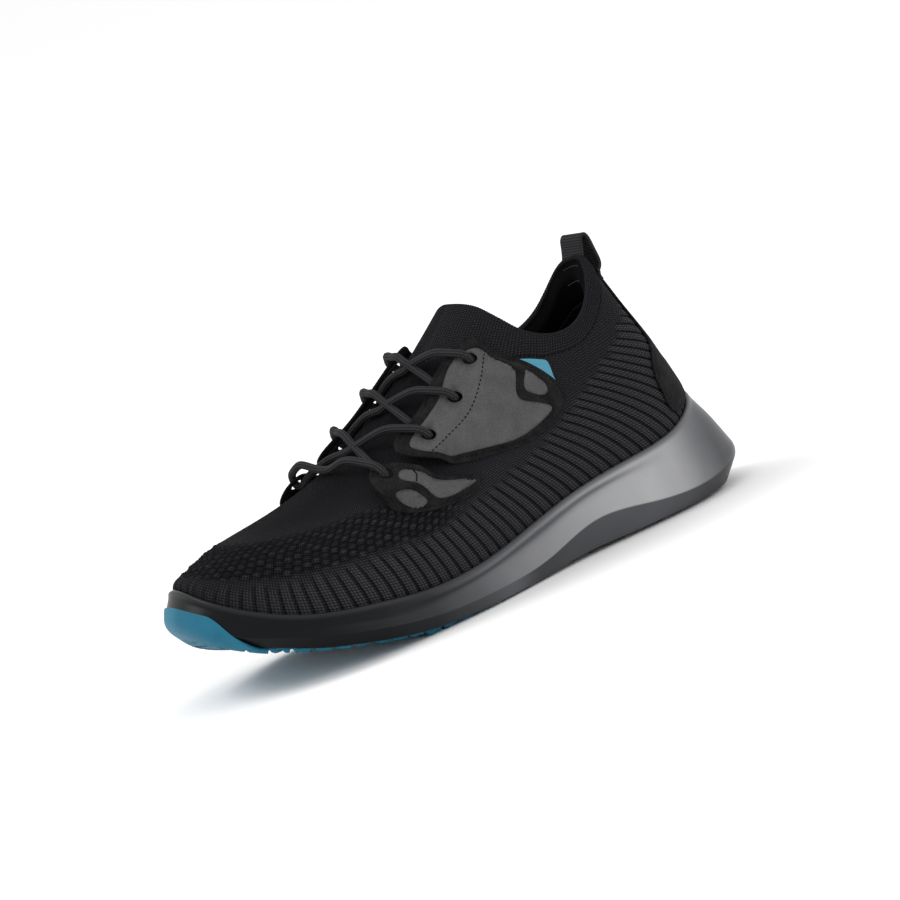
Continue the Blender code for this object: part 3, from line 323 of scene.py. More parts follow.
class Shader:
    """A material and short ways to wire its nodes."""

    def __init__(self, name, colour, roughness, **constants):
        self.material = bpy.data.materials.new(name)
        self.material.use_nodes = True
        self.nodes = self.material.node_tree.nodes
        self.links = self.material.node_tree.links
        self.surface = self.nodes["Principled BSDF"]
        self.set(self.surface, "Base Color", (*colour, 1.0))
        self.set(self.surface, "Roughness", roughness)
        for socket, value in constants.items():
            self.set(self.surface, socket.replace("_", " "), value)

    def set(self, node, socket, value):
        node.inputs[socket].default_value = value

    def add(self, kind, inputs=None, **settings):
        node = self.nodes.new(kind)
        for key, value in settings.items():
            setattr(node, key, value)
        for socket, value in (inputs or {}).items():
            if isinstance(value, bpy.types.NodeSocket):
                self.links.new(value, node.inputs[socket])
            else:
                self.set(node, socket, value)
        return node

    def place(self, scale=PER_METRE, source="Object"):
        """Coordinates in the row frame, scaled."""
        spot = self.add("ShaderNodeTexCoord").outputs[source]
        return self.add("ShaderNodeMapping", {"Vector": spot, "Scale": scale}).outputs["Vector"]

    def math(self, operation, first, second=0.0):
        return self.add("ShaderNodeMath", {0: first, 1: second}, operation=operation).outputs[0]

    def tone(self):
        """The tone stored on the mesh's points: colour with painted shade and painted highlights in it."""
        return self.add("ShaderNodeAttribute", attribute_name="tone").outputs["Fac"]

    def ridges(self, value, pitch):
        """Rounded ridges across a value, one to a pitch."""
        wave = self.math("SINE", self.math("MULTIPLY", value, math.pi / pitch))
        return self.math("ABSOLUTE", wave)

    def noise(self, place, scale, detail=2.0):
        node = self.add("ShaderNodeTexNoise", {"Vector": place, "Scale": scale, "Detail": detail})
        return node.outputs[0]

    def cells(self, place, scale):
        node = self.add("ShaderNodeTexVoronoi", {"Vector": place, "Scale": scale})
        return node.outputs["Distance"]

    def ramp(self, value, stops):
        node = self.add("ShaderNodeValToRGB", {"Fac": value})
        ramp = node.color_ramp
        ramp.elements[0].position, ramp.elements[1].position = stops[0][0], stops[-1][0]
        for k, (position, colour) in enumerate(stops):
            element = ramp.elements.new(position) if 0 < k < len(stops) - 1 else None
            if element is None:
                element = ramp.elements[0] if k == 0 else ramp.elements[-1]
            element.color = (*colour, 1.0)
        return node.outputs["Color"]

    def colour(self, socket):
        self.links.new(socket, self.surface.inputs["Base Color"])

    def roughness(self, value, low, high):
        node = self.add("ShaderNodeMapRange", {"Value": value, "To Min": low, "To Max": high})
        self.links.new(node.outputs["Result"], self.surface.inputs["Roughness"])

    def bump(self, height, depth, strength=1.0):
        node = self.add("ShaderNodeBump", {"Height": height, "Distance": depth, "Strength": strength})
        self.links.new(node.outputs["Normal"], self.surface.inputs["Normal"])


def knit_shader(name, across, along):
    """Rows of fine stitches, coloured by their height times the stored tone: painted shade between the loops
    and painted highlights on them, over the painted rib and bubble shading.
    """
    shader = Shader(name, (0.012, 0.012, 0.014), 0.92, Specular_IOR_Level=0.06)
    place = shader.place((100.0, 100.0, 100.0), "UV")
    split = shader.add("ShaderNodeSeparateXYZ", {"Vector": place})
    wander = shader.math("MULTIPLY", shader.noise(place, 0.5, 1.0), 0.9)
    column = shader.math("ADD", split.outputs["X"], wander)
    row = shader.math("ADD", split.outputs["Y"], wander)
    rib = shader.ridges(column, across)
    stitch = shader.ridges(row, along)
    loops = shader.math("MULTIPLY", rib, stitch)
    grain = shader.noise(place, 2.4, 2.0)
    height = shader.math("ADD", loops, shader.math("MULTIPLY", grain, 0.5))
    tone = shader.tone()
    # Painted shade and highlight: the stitch relief times the stored tone sets the colour, near black in the
    # hollows.
    shade = shader.math("MULTIPLY", shader.math("MULTIPLY", height, tone), 1.25)
    shader.colour(shader.ramp(shade, ((0.0, (0.0006, 0.0006, 0.0008)), (0.5, (0.0215, 0.021, 0.0245)),
                                      (1.0, (0.052, 0.0505, 0.058)))))
    shader.roughness(grain, 0.85, 1.0)
    shader.bump(height, 0.0004, 0.9)
    return shader.material


def lining_shader():
    shader = Shader("lining", (0.003, 0.003, 0.004), 0.95, Specular_IOR_Level=0.04)
    place = shader.place()
    weave = shader.noise(place, 1.6, 3.0)
    shader.colour(shader.ramp(weave, ((0.3, (0.0006, 0.0006, 0.0008)), (0.7, (0.003, 0.003, 0.0036)))))
    shader.bump(weave, 0.0002, 0.6)
    return shader.material


def suede_shader():
    shader = Shader("microsuede", (0.010, 0.010, 0.011), 0.95, Sheen_Weight=0.02, Sheen_Roughness=0.4,
                    Specular_IOR_Level=0.05)
    place = shader.place()
    nap = shader.noise(place, 2.2, 4.0)
    patches = shader.noise(place, 0.18, 3.0)
    mixed = shader.math("ADD", shader.math("MULTIPLY", nap, 0.65), shader.math("MULTIPLY", patches, 0.35))
    shader.colour(shader.ramp(mixed, ((0.32, (0.001, 0.001, 0.0012)), (0.7, (0.022, 0.0215, 0.022)))))
    shader.roughness(nap, 0.85, 1.0)
    shader.bump(nap, 0.00018, 0.8)
    return shader.material


def film_shader(name, dark, light):
    shader = Shader(name, light, 0.5, Specular_IOR_Level=0.12)
    place = shader.place()
    beads = shader.cells(place, 2.6)
    cloud = shader.noise(place, 0.12, 2.0)
    mixed = shader.math("ADD", shader.math("MULTIPLY", beads, 0.6), shader.math("MULTIPLY", cloud, 0.5))
    shader.colour(shader.ramp(mixed, ((0.2, light), (0.75, dark))))
    shader.roughness(beads, 0.42, 0.62)
    shader.bump(beads, 0.00006, 0.6)
    return shader.material


def plain_fabric(name, dark, light, scale, depth, roughness):
    """Woven cloth between two tones."""
    shader = Shader(name, light, roughness, Specular_IOR_Level=0.08)
    place = shader.place()
    weave = shader.noise(place, scale, 3.0)
    shader.colour(shader.ramp(weave, ((0.3, dark), (0.7, light))))
    shader.roughness(weave, max(0.0, roughness - 0.08), min(1.0, roughness + 0.05))
    shader.bump(weave, depth, 0.7)
    return shader.material


def sole_shader():
    """Satin moulded foam coloured from the stored tone: black at the toe to grey at the heel, partly the
    foam's own colour and partly a painted reflection, with painted shade and a painted highlight line.
    """
    shader = Shader("moulded_sole", (0.02, 0.021, 0.023), 0.3, Specular_IOR_Level=0.14)
    place = shader.place()
    grain = shader.noise(place, 0.9, 3.0)
    cloud = shader.noise(place, 0.03, 3.0)
    tone = shader.tone()
    mottled = shader.math("MULTIPLY", tone, shader.math("ADD", shader.math("MULTIPLY", cloud, 0.5), 0.75))
    shader.colour(shader.ramp(mottled, ((0.0, (0.0004, 0.0008, 0.0016)), (0.1, (0.098, 0.1, 0.108)),
                                        (1.0, (1.0, 1.0, 1.0)))))
    shader.roughness(grain, 0.28, 0.38)
    shader.bump(grain, 0.00003, 0.5)
    return shader.material


def rubber_shader(name, dark, light):
    """Pebbled moulded rubber."""
    shader = Shader(name, light, 0.5, Specular_IOR_Level=0.15)
    place = shader.place()
    pebble = shader.cells(place, 1.1)
    cloud = shader.noise(place, 0.06, 2.0)
    shader.colour(shader.ramp(cloud, ((0.3, dark), (0.7, light))))
    shader.roughness(pebble, 0.42, 0.62)
    shader.bump(pebble, 0.00015, 0.7)
    return shader.material


def lace_shader(name):
    shader = Shader(name, (0.03, 0.03, 0.032), 0.85, Specular_IOR_Level=0.08)
    tone = shader.tone()
    place = shader.place()
    fuzz = shader.noise(place, 3.0, 3.0)
    mixed = shader.math("MULTIPLY", tone, shader.math("ADD", fuzz, 0.5))
    shader.colour(shader.ramp(mixed, ((0.0, (0.002, 0.002, 0.0024)), (1.0, (0.062, 0.061, 0.066)))))
    shader.roughness(fuzz, 0.7, 0.9)
    shader.bump(fuzz, 0.00012, 0.6)
    return shader.material


# Mesh helpers ------------------------------------------------------------------------------------

def add_piece(name, points, faces, materials, body, replaced=(), uv=None, tone=None):
    """A smooth-shaded piece in metres that rides on a body and stands for CAD nodes."""
    mesh = bpy.data.meshes.new(name)
    mesh.from_pydata(((np.asarray(points, float) - PLAN_CENTRE) * MM).tolist(), [], faces)
    mesh.validate()
    mesh.shade_smooth()
    for item in materials:
        mesh.materials.append(item)
    if uv is not None:
        corners = np.empty(len(mesh.loops), np.int32)
        mesh.loops.foreach_get("vertex_index", corners)
        layer_uv = mesh.uv_layers.new(name="UVMap")
        layer_uv.data.foreach_set("uv", (uv[corners] * UV_SCALE).astype(np.float32).ravel())
    if tone is not None:
        attribute = mesh.attributes.new("tone", "FLOAT", "POINT")
        attribute.data.foreach_set("value", tone.astype(np.float32))
    piece = bpy.data.objects.new(name, mesh)
    bpy.context.scene.collection.objects.link(piece)
    if body:
        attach(piece, body)
    if replaced:
        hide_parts(*replaced)
    return piece


def grid_faces(rows, columns, closed=False, first=0, flip=False):
    """Quads of a grid of points numbered row by row, closed along its first axis if asked."""
    faces = []
    for i in range(rows if closed else rows - 1):
        a = first + i * columns
        b = first + ((i + 1) % rows) * columns
        for j in range(columns - 1):
            quad = (a + j, b + j, b + j + 1, a + j + 1)
            faces.append(quad[::-1] if flip else quad)
    return faces


def strip_solid(outer, inner):
    """Points and faces of a thin solid between two open grids."""
    rows, columns = outer.shape[:2]
    back = rows * columns
    faces = grid_faces(rows, columns) + grid_faces(rows, columns, first=back, flip=True)
    for i in range(rows - 1):
        a = i * columns
        b = a + columns
        faces.append((a, back + a, back + b, b))
        a += columns - 1
        b += columns - 1
        faces.append((a, b, back + b, back + a))
    for row, turn in ((0, 1), (rows - 1, -1)):
        for j in range(columns - 1):
            a = row * columns + j
            faces.append((a, a + 1, back + a + 1, back + a)[::turn])
    return np.concatenate([outer.reshape(-1, 3), inner.reshape(-1, 3)]), faces


def soften_edges(piece, width, segments=2):
    bevel = piece.modifiers.new("soft_edges", "BEVEL")
    bevel.width = width * MM
    bevel.segments = segments
    bevel.limit_method = "ANGLE"
    bevel.angle_limit = math.radians(50)
    bevel.use_clamp_overlap = True


def inside(points, loop):
    """Which of the plan points lie inside a closed loop."""
    x = points[:, 0]
    y = points[:, 1]
    result = np.zeros(len(points), bool)
    for (ax, ay), (bx, by) in zip(loop, np.roll(loop, -1, 0)):
        crosses = (ay > y) != (by > y)
        reach = ax + (y - ay) * (bx - ax) / (by - ay if by != ay else 1.0)
        result ^= crosses & (x < reach)
    return result


def distance_to(points, line):
    """Shortest distance from each point to a line of points."""
    best = np.full(points.shape[:-1], 1e9)
    for start, end in zip(line[:-1], line[1:]):
        span = end - start
        f = np.clip(((points - start) @ span) / max(span @ span, 1e-12), 0, 1)
        nearest = start + f[..., None] * span
        best = np.minimum(best, np.linalg.norm(points - nearest, axis=-1))
    return best


def length_along(points):
    """Distance travelled along a line of points, at each of them."""
    return np.concatenate([[0.0], np.cumsum(np.linalg.norm(np.diff(points, axis=0), axis=1))])


def spaced(line, spacing, closed):
    """(station, row) points about evenly spaced on the skin along a fine line."""
    line = np.concatenate([line, line[:1]]) if closed else line
    places = skin(line[:, 0], line[:, 1])
    length = length_along(places)
    count = max(8, round(length[-1] / spacing))
    where = np.arange(count) * length[-1] / count if closed else np.linspace(0, length[-1], count)
    return np.column_stack([np.interp(where, length, line[:, k]) for k in range(2)])


def outline_loop(outline, spacing):
    return spaced(smooth_line(outline, 40 * len(outline), closed=True), spacing, True)


def round_hole(s, r, diameter, sides=28):
    """Loop of (station, row) points that is a circle on the skin."""
    step = 0.02
    along = (skin(s + step, r) - skin(s - step, r)) / (2 * step)
    rise = (skin(s, r + step) - skin(s, r - step)) / (2 * step)
    side = along / np.linalg.norm(along)
    other = np.cross(skin_normal(s, r), side)
    net = np.column_stack([along, rise])
    loop = []
    for k in range(sides):
        angle = 2 * math.pi * k / sides
        target = (side * math.cos(angle) + other * math.sin(angle)) * diameter / 2
        change = np.linalg.lstsq(net, target, rcond=None)[0]
        loop.append((s + change[0], r + change[1]))
    return np.array(loop)


def plate_triangles(outline, holes, spacing):
    """Plan points and triangles filling an outline less its holes."""
    scale = np.array([STATION_LENGTH, ROW_LENGTH])
    loops = [np.asarray(loop) * scale for loop in [outline, *holes]]
    low = loops[0].min(0)
    high = loops[0].max(0)
    across = np.arange(low[0] + spacing / 2, high[0], spacing)
    upward = np.arange(low[1] + spacing / 2, high[1], spacing)
    grid = np.array([(x + (spacing / 2 if k % 2 else 0), y) for k, y in enumerate(upward) for x in across])
    keep = inside(grid, loops[0])
    for loop in loops[1:]:
        keep &= ~inside(grid, loop)
    for loop in loops:
        keep &= distance_to(grid, np.concatenate([loop, loop[:1]])) > spacing * 0.55
    edges = []
    first = 0
    for loop in loops:
        count = len(loop)
        edges += [(first + k, first + (k + 1) % count) for k in range(count)]
        first += count
    flat = [Vector(point) for point in np.concatenate([*loops, grid[keep]])]
    result = delaunay_2d_cdt(flat, edges, [], 0, 1e-5)
    plan = np.array([tuple(point) for point in result[0]])
    triangles = np.array(result[2])
    centres = plan[triangles].mean(1)
    keep = inside(centres, loops[0])
    for loop in loops[1:]:
        keep &= ~inside(centres, loop)
    return plan / scale, triangles[keep]


def surface_plate(name, outline, holes, base, thickness, shader, replaced, flip=False, spacing=2.4,
                  bevel=0.35, channel=False):
    """Thin piece of any outline over the knit, with softened edges and a stitched channel if asked."""
    if channel:
        spacing = 1.1
    plan, triangles = plate_triangles(outline_loop(outline, spacing * 0.6), holes, spacing)
    low = base(plan[:, 0], plan[:, 1])
    s = STATIONS - plan[:, 0] if flip else plan[:, 0]
    depth = np.zeros(len(plan))
    if channel:
        loop = outline_loop(outline, 1.5)
        inset = distance_to(skin(plan[:, 0], plan[:, 1]), skin(*np.concatenate([loop, loop[:1]]).T))
        depth = CHANNEL_DEPTH * np.exp(-((inset - CHANNEL_INSET) / 0.5) ** 2)
    top = layer(s, plan[:, 1], low + thickness - depth)
    bottom = layer(s, plan[:, 1], low)
    count = len(plan)
    turn = -1 if flip else 1
    faces = [tuple(int(k) for k in face[::-turn]) for face in triangles]
    faces += [tuple(int(k) + count for k in face[::turn]) for face in triangles]
    used = {(a, b) for face in faces[:len(triangles)] for a, b in zip(face, face[1:] + face[:1])}
    faces += [(b, a, a + count, b + count) for a, b in sorted(used) if (b, a) not in used]
    piece = add_piece(name, np.concatenate([top, bottom]), faces, [shader], "shoe", replaced)
    if bevel:
        soften_edges(piece, bevel)
    return piece


def edge_line(outline, first, last):
    """Part of an outline as points on the skin, from knot first to knot last."""
    part = smooth_line(outline[first:last + 1], 6 * (last - first) + 1)
    return skin(part[:, 0], part[:, 1])


def wing_base(throat, stitched):
    """Height of a wing's inner face: sewn down to the knit, standing off it at the throat."""
    def base(s, r):
        points = skin(s, r)
        from_throat = distance_to(points, throat)
        from_stitch = distance_to(points, stitched)
        lift = WING_LIFT * (1 - smoothstep(22, 33, from_throat)) * smoothstep(1.0, 9.0, from_stitch)
        seat = STITCHED_SEAT + (WING_SEAT - STITCHED_SEAT) * smoothstep(0.0, 6.0, from_stitch)
        return seat + lift
    return base


def outward_from(places):
    """Unit directions pointing out of a closed loop of plan points."""
    along = np.roll(places, -1, 0) - np.roll(places, 1, 0)
    along /= np.linalg.norm(along, axis=1)[:, None]
    outward = np.column_stack([along[:, 1], -along[:, 0]])
    area = np.sum(places[:, 0] * np.roll(places[:, 1], -1) - places[:, 1] * np.roll(places[:, 0], -1))
    return -outward if area < 0 else outward


def grown(outline, margin):
    """Window outline moved outward, for the film behind it."""
    scale = np.array([15.0, 30.0])
    places = np.array(outline) * scale
    return [tuple(place) for place in (places + outward_from(places) * margin) / scale]


# Stitches ----------------------------------------------------------------------------------------

def stitch_mesh(runs, length, width):
    """Points and faces of small round-ended stitches; runs holds (centres, directions, normals)."""
    sides = 6
    profile = ((-1.0, 0.0), (-0.75, 0.7), (0.0, 1.0), (0.75, 0.7), (1.0, 0.0))
    points = []
    faces = []
    for centres, ways, normals in runs:
        for centre, way, normal in zip(centres, ways, normals):
            side = np.cross(way, normal)
            side /= np.linalg.norm(side)
            first = len(points)
            for reach, swell in profile:
                for k in range(sides):
                    angle = 2 * math.pi * k / sides
                    out = (side * math.cos(angle) + normal * math.sin(angle)) * swell * width / 2
                    points.append(centre + way * reach * length / 2 + out)
            for level in range(len(profile) - 1):
                for k in range(sides):
                    a = first + level * sides
                    b = a + sides
                    m = (k + 1) % sides
                    faces.append((a + k, a + m, b + m, b + k))
    return np.array(points), faces


def stitch_run(line, pitch, height, closed=False, flip=False):
    """Stitch centres, directions and normals along a (station, row) line."""
    line = spaced(np.asarray(line, float), pitch, closed)
    lift = height(line[:, 0], line[:, 1])
    s = STATIONS - line[:, 0] if flip else line[:, 0]
    centres = layer(s, line[:, 1], lift)
    ways = np.roll(centres, -1, 0) - np.roll(centres, 1, 0) if closed else np.gradient(centres, axis=0)
    ways /= np.linalg.norm(ways, axis=1)[:, None]
    return centres, ways, skin_normal(s, line[:, 1])


def shrunk(outline, margin):
    """Fine outline moved inward on the skin by margin millimetres."""
    fine = smooth_line(outline, 24 * len(outline), closed=True)
    scale = np.array([STATION_LENGTH, ROW_LENGTH])
    places = fine * scale
    return (places - outward_from(places) * margin) / scale


# Upper -------------------------------------------------------------------------------------------

def add_knit(name, points, uv, tone, shader, replaced):
    columns, count = tone.shape
    add_piece(name, points.reshape(-1, 3), grid_faces(columns, count, closed=True, flip=True), [shader],
              "shoe", replaced, uv=uv.reshape(-1, 2), tone=np.clip(tone, 0, 1).ravel())


def arc_from_heel(points):
    """Length along a closed ring of points, measured both ways from its first point."""
    step = np.linalg.norm(np.roll(points, -1, 0) - points, axis=1)
    arc = np.concatenate([[0.0], np.cumsum(step)[:-1]])
    return np.minimum(arc, step.sum() - arc)[:, None]


def climb_along(points):
    climb = np.zeros(points.shape[:2])
    climb[:, 1:] = np.cumsum(np.linalg.norm(np.diff(points, axis=1), axis=2), axis=1)
    return climb


def build_knit(shader):
    """Body of the bootie: slanting ribs, a band of bubbles over the vamp and plain knit between."""
    columns = 1040
    stations = np.arange(columns) * STATIONS / columns
    away = from_heel(stations)[:, None]
    seam = np.interp(away, *CUFF_ROW)
    share = np.linspace(0, 1, 186)[None]
    r = 0.8 + (seam - 0.8) * share
    s = np.broadcast_to(stations[:, None], r.shape)
    plain = skin(s, r)
    lip = skin(stations, np.ones(columns))
    edge = arc_from_heel(lip)
    climb = climb_along(plain)
    toe = smoothstep(8.8, 10.6, away)

    rise = plain[..., 2] - lip[:, None, 2]
    drift = plain[..., 1] - lip[:, None, 1] + np.interp(away, *RIB_LEAN) * rise * (0.6 + 0.0105 * rise)
    slant = edge - (1 - smoothstep(8.0, 10.2, away)) * drift
    rib = np.floor(slant / RIB_PITCH)
    rib_end = np.interp(away, *RIB_TOP) + 0.1 * np.sin(rib * 2.4)
    ribbed = (1 - smoothstep(-0.16, 0.1, r - rib_end)) * (1 - 0.55 * toe)
    ribs = waves(slant, RIB_PITCH, 3.0)

    row_arc = arc_from_heel(skin(stations, np.full(columns, 2.5))) + 0.5 * np.sin(climb / 2.9)
    cell = np.floor(row_arc / BUBBLE_PITCH)
    level = climb / BUBBLE_RISE + 0.5 * (cell % 2)
    bubbles = np.abs(np.sin(np.pi * row_arc / BUBBLE_PITCH)) * np.abs(np.sin(np.pi * level))
    swell = 0.72 + 0.28 * np.sin(cell * 5.1 + np.floor(level) * 2.7)
    bubbles = swell * bubbles ** 0.8
    top = np.interp(away, (6.0, 7.5, 8.4, 10, 11), (2.9, 3.35, 3.3, 3.0, 3.0))
    low = np.interp(away, (6.0, 7.5, 9, 10, 11), (2.6, 2.5, 2.1, 1.9, 1.75))
    band = smoothstep(-0.15, 0.1, r - low) * (1 - smoothstep(-0.15, 0.1, r - top))
    band = band * smoothstep(6.1, 6.9, away)
    ribbed = ribbed * (1 - band)
    fine = waves(edge - climb, 2.6, 1.4)
    rest = np.clip(1 - ribbed - band, 0, 1)
    throat = rest * smoothstep(3.0, 3.6, r)

    lift = ribbed * 0.85 * (ribs - 1) + band * 0.95 * (bubbles - 0.35) + 0.12 * throat * (fine - 1)
    lift = lift - 0.15 * (1 - smoothstep(0.0, 0.9, climb[:, -1:] - climb))
    # Painted light in the knit's tone: rib grooves and the gaps between bubbles are painted dark as shade,
    # rib crests and bubble tops painted light as highlight.
    tone = 0.46 * rest + ribbed * (0.02 + 0.66 * ribs ** 1.5) + band * (0.05 + 0.6 * bubbles)
    # Painted shade in the throat, deeper in its fine grooves; then the knit darkens towards the toe.
    tone = tone - 0.2 * throat * (1 - 0.5 * fine) * (1 + smoothstep(5.5, 7.5, away)) / 2
    tone = tone * (1 - 0.35 * smoothstep(8.0, 10.4, away))
    points = plain + skin_normal(s, r) * lift[..., None]
    add_knit("knit_bootie", points, np.stack([slant, climb], -1), tone, shader,
             ("knit_vamp", "knit_tongue", "knit_quarter_lateral", "knit_quarter_medial"))


def build_cuff(shader):
    """Ribbed band round the opening, padded behind the ankle and rolled over at the rim."""
    columns = 1500
    stations = np.arange(columns) * STATIONS / columns
    away = from_heel(stations)[:, None]
    seam = np.interp(away, *CUFF_ROW)
    share = np.linspace(0, 1, 48)[None]
    r = seam + (5.97 - seam) * share
    s = np.broadcast_to(stations[:, None], r.shape)
    plain = skin(s, r)
    climb = climb_along(plain)
    arc = arc_from_heel(skin(stations, np.full(columns, 5.8)))
    ribs = waves(arc, 1.35, 1.3)
    padded = 0.45 * (1 - smoothstep(5.0, 7.0, away)) * np.sin(np.pi * share) ** 0.7
    hollow = 1 - smoothstep(0.1, 0.9, climb)
    lift = padded + 0.24 * (ribs - 1) - 0.2 * hollow
    # Painted shade: darker between the cuff ribs and in spots along the hollow at the seam.
    pit_shade = np.abs(np.sin(np.pi * arc / 1.8)) > 0.5
    tone = 0.16 + 0.3 * ribs - 0.45 * hollow * pit_shade
    points = plain + skin_normal(s, r) * lift[..., None]

    rim = plain[:, -1]
    rim_up = rim - plain[:, -3]
    rim_up /= np.linalg.norm(rim_up, axis=1)[:, None]
    out = skin_normal(stations, np.full(columns, 5.97))
    inward = np.abs(lining_face(stations, 5.97)) / 2
    rolls = []
    for angle in np.linspace(0.12, 1.0, 10) * math.pi:
        depth = 0.12 * (ribs[:, 0] - 1)
        reach = math.cos(angle) * (inward + depth)
        rise = math.sin(angle) * (1.3 + 2 * depth)
        centre = rim - out * inward[:, None]
        rolls.append(centre + out * reach[:, None] + rim_up * rise[:, None])
    points = np.concatenate([points, np.stack(rolls, 1)], 1)
    tail = len(rolls)
    tone = np.concatenate([tone, np.repeat(tone[:, -1:], tail, 1)], 1)
    beyond = climb[:, -1:] + np.arange(1, tail + 1) * 0.6
    uv = np.stack([np.broadcast_to(arc, tone.shape), np.concatenate([climb, beyond], 1)], -1)
    add_knit("ribbed_collar", points, uv, tone, shader, ("ribbed_cuff",))


def build_lining(shader):
    columns = 330
    stations = np.arange(columns) * STATIONS / columns
    rows = np.linspace(0.3, 5.97, 90)
    s, r = np.meshgrid(stations, rows, indexing="ij")
    inner = layer(s, r, lining_face(s, r))
    outer = layer(s, r, lining_face(s, r) + LINING * 0.8)
    count = len(rows)
    points = np.concatenate([inner.reshape(-1, 3), outer.reshape(-1, 3)])
    faces = grid_faces(columns, count, closed=True)
    faces += grid_faces(columns, count, closed=True, first=columns * count, flip=True)
    for i in range(columns):
        a = i * count
        b = ((i + 1) % columns) * count
        back = columns * count
        faces.append((a, back + a, back + b, b))
        faces.append((a + count - 1, b + count - 1, back + b + count - 1, back + a + count - 1))
    add_piece("sock_lining", points, faces, [shader], "shoe", ("inner_lining",))


def build_pads(shader):
    """Collar and tongue pads between knit and lining: crowned, thinner towards their sewn edges."""
    for name, node, first, last in (("collar_pad", "collar_foam", -6.0, 6.0),
                                    ("tongue_pad", "tongue_foam", 9.0, 13.0)):
        along = np.linspace(0, 1, 160)
        up = np.linspace(0, 1, 36)
        s, r = np.meshgrid(first + (last - first) * along, 4.5 + 1.2 * up, indexing="ij")
        crown = np.minimum(np.sin(np.pi * along)[:, None] * 6, 1) * np.sin(np.pi * up)[None] ** 0.35
        outer = -(KNIT + 1.3 * GAP)
        inner = -(KNIT + fill_depth(s, r) - 1.6 * GAP)
        middle = (outer + inner) / 2
        half = (outer - inner) / 2 * (0.25 + 0.75 * crown)
        points, faces = strip_solid(layer(s, r, middle + half), layer(s, r, middle - half))
        pad = add_piece(name, points, faces, [shader], "shoe", (node,))
        soften_edges(pad, 0.2)


def build_wings(side, suede, film, accent, thread):
    """Both wings of a side with the film in their windows, the accent tab and the stitching."""
    flip = side == "medial"
    runs = []
    parts = (("upper", UPPER_WING, (0, 7), (9, 19), (("main", MAIN_WINDOW), ("small", SMALL_WINDOW)),
              EYELETS[1:]),
             ("lower", LOWER_WING, (0, 2), (4, 11), (("lower", LOWER_WINDOW), ("oval", OVAL_WINDOW)),
              EYELETS[:1]))
    for part, outline, throat, sewn, windows, eyelets in parts:
        base = wing_base(edge_line(outline, *throat), edge_line(outline, *sewn))
        holes = [round_hole(s, r, EYELET_DIAMETER) for s, r in eyelets]
        openings = [outline_loop(window, 1.4) for name, window in windows]
        through = [hole for hole in holes if not any(inside(hole[:1], loop)[0] for loop in openings)]
        surface_plate(f"suede_{side}_{part}", outline, openings + through, base, WING_THICK, suede,
                      (f"wing_{side}_{part}",), flip=flip, channel=True)
        for name, window in windows:
            loop = outline_loop(window, 1.4)
            punched = [hole for hole in holes if name in ("main", "lower") and inside(hole[:1], loop)[0]]
            surface_plate(f"film_{side}_{name}", grown(window, 0.7), punched,
                          lambda s, r: base(s, r) + FILM_LIFT, FILM_THICK, film,
                          (f"reflector_{side}_{name}",), flip=flip, bevel=0.0)

        def top(s, r):
            return base(s, r) + WING_THICK - CHANNEL_DEPTH + STITCH_RISE

        def film_top(s, r):
            return base(s, r) + FILM_LIFT + FILM_THICK + 0.02

        runs.append(stitch_run(shrunk(outline, CHANNEL_INSET), 2.1, top, closed=True, flip=flip))
        seam = FILM_STITCH if part == "upper" else LOWER_STITCH
        runs.append(stitch_run(smooth_line(seam, 60), 2.15, film_top, flip=flip))
    surface_plate(f"accent_{side}", ACCENT, [], lambda s, r: np.full_like(s, 0.35), 0.6, accent,
                  (f"accent_tab_{side}",), flip=flip, bevel=0.2)
    points, faces = stitch_mesh(runs, 1.45, 0.6)
    add_piece(f"wing_stitching_{side}", points, faces, [thread], "shoe")


def both_sides(half):
    """Outline that is the same on both sides of the heel's centre line."""
    return half + [(-s, r) for s, r in half[::-1]]


def build_heel(suede, film, patch, thread):
    shape = both_sides(HEEL_SIDE)
    window = both_sides(HEEL_WINDOW)

    def base(s, r):
        over_tab = 1 - smoothstep(0.3, 0.5, np.abs(s))
        return 0.2 + 1.4 * over_tab * smoothstep(4.7, 4.95, r)

    def stitch_height(s, r):
        return base(s, r) + WING_THICK - CHANNEL_DEPTH + STITCH_RISE

    surface_plate("heel_cover", shape, [outline_loop(window, 1.4)], base, WING_THICK, suede,
                  ("heel_overlay",), channel=True)
    surface_plate("heel_insert", grown(window, 0.3), [], lambda s, r: np.full_like(s, 0.3), 0.7, film,
                  ("heel_reflector",), bevel=0.0)
    runs = [stitch_run(shrunk(shape, CHANNEL_INSET), 2.1, stitch_height, closed=True)]
    points, faces = stitch_mesh(runs, 1.35, 0.45)
    add_piece("heel_stitching", points, faces, [thread], "shoe")
    s, r = np.meshgrid(np.linspace(-2.0, 2.0, 90), np.linspace(2.0, 4.5, 60), indexing="ij")
    face = lining_face(s, r)
    points, faces = strip_solid(layer(s, r, face - 1.1), layer(s, r, face - 0.3))
    piece = add_piece("heel_lining_patch", points, faces, [patch], "shoe",
                      ("heel_lining_panel",))
    soften_edges(piece, 0.25)


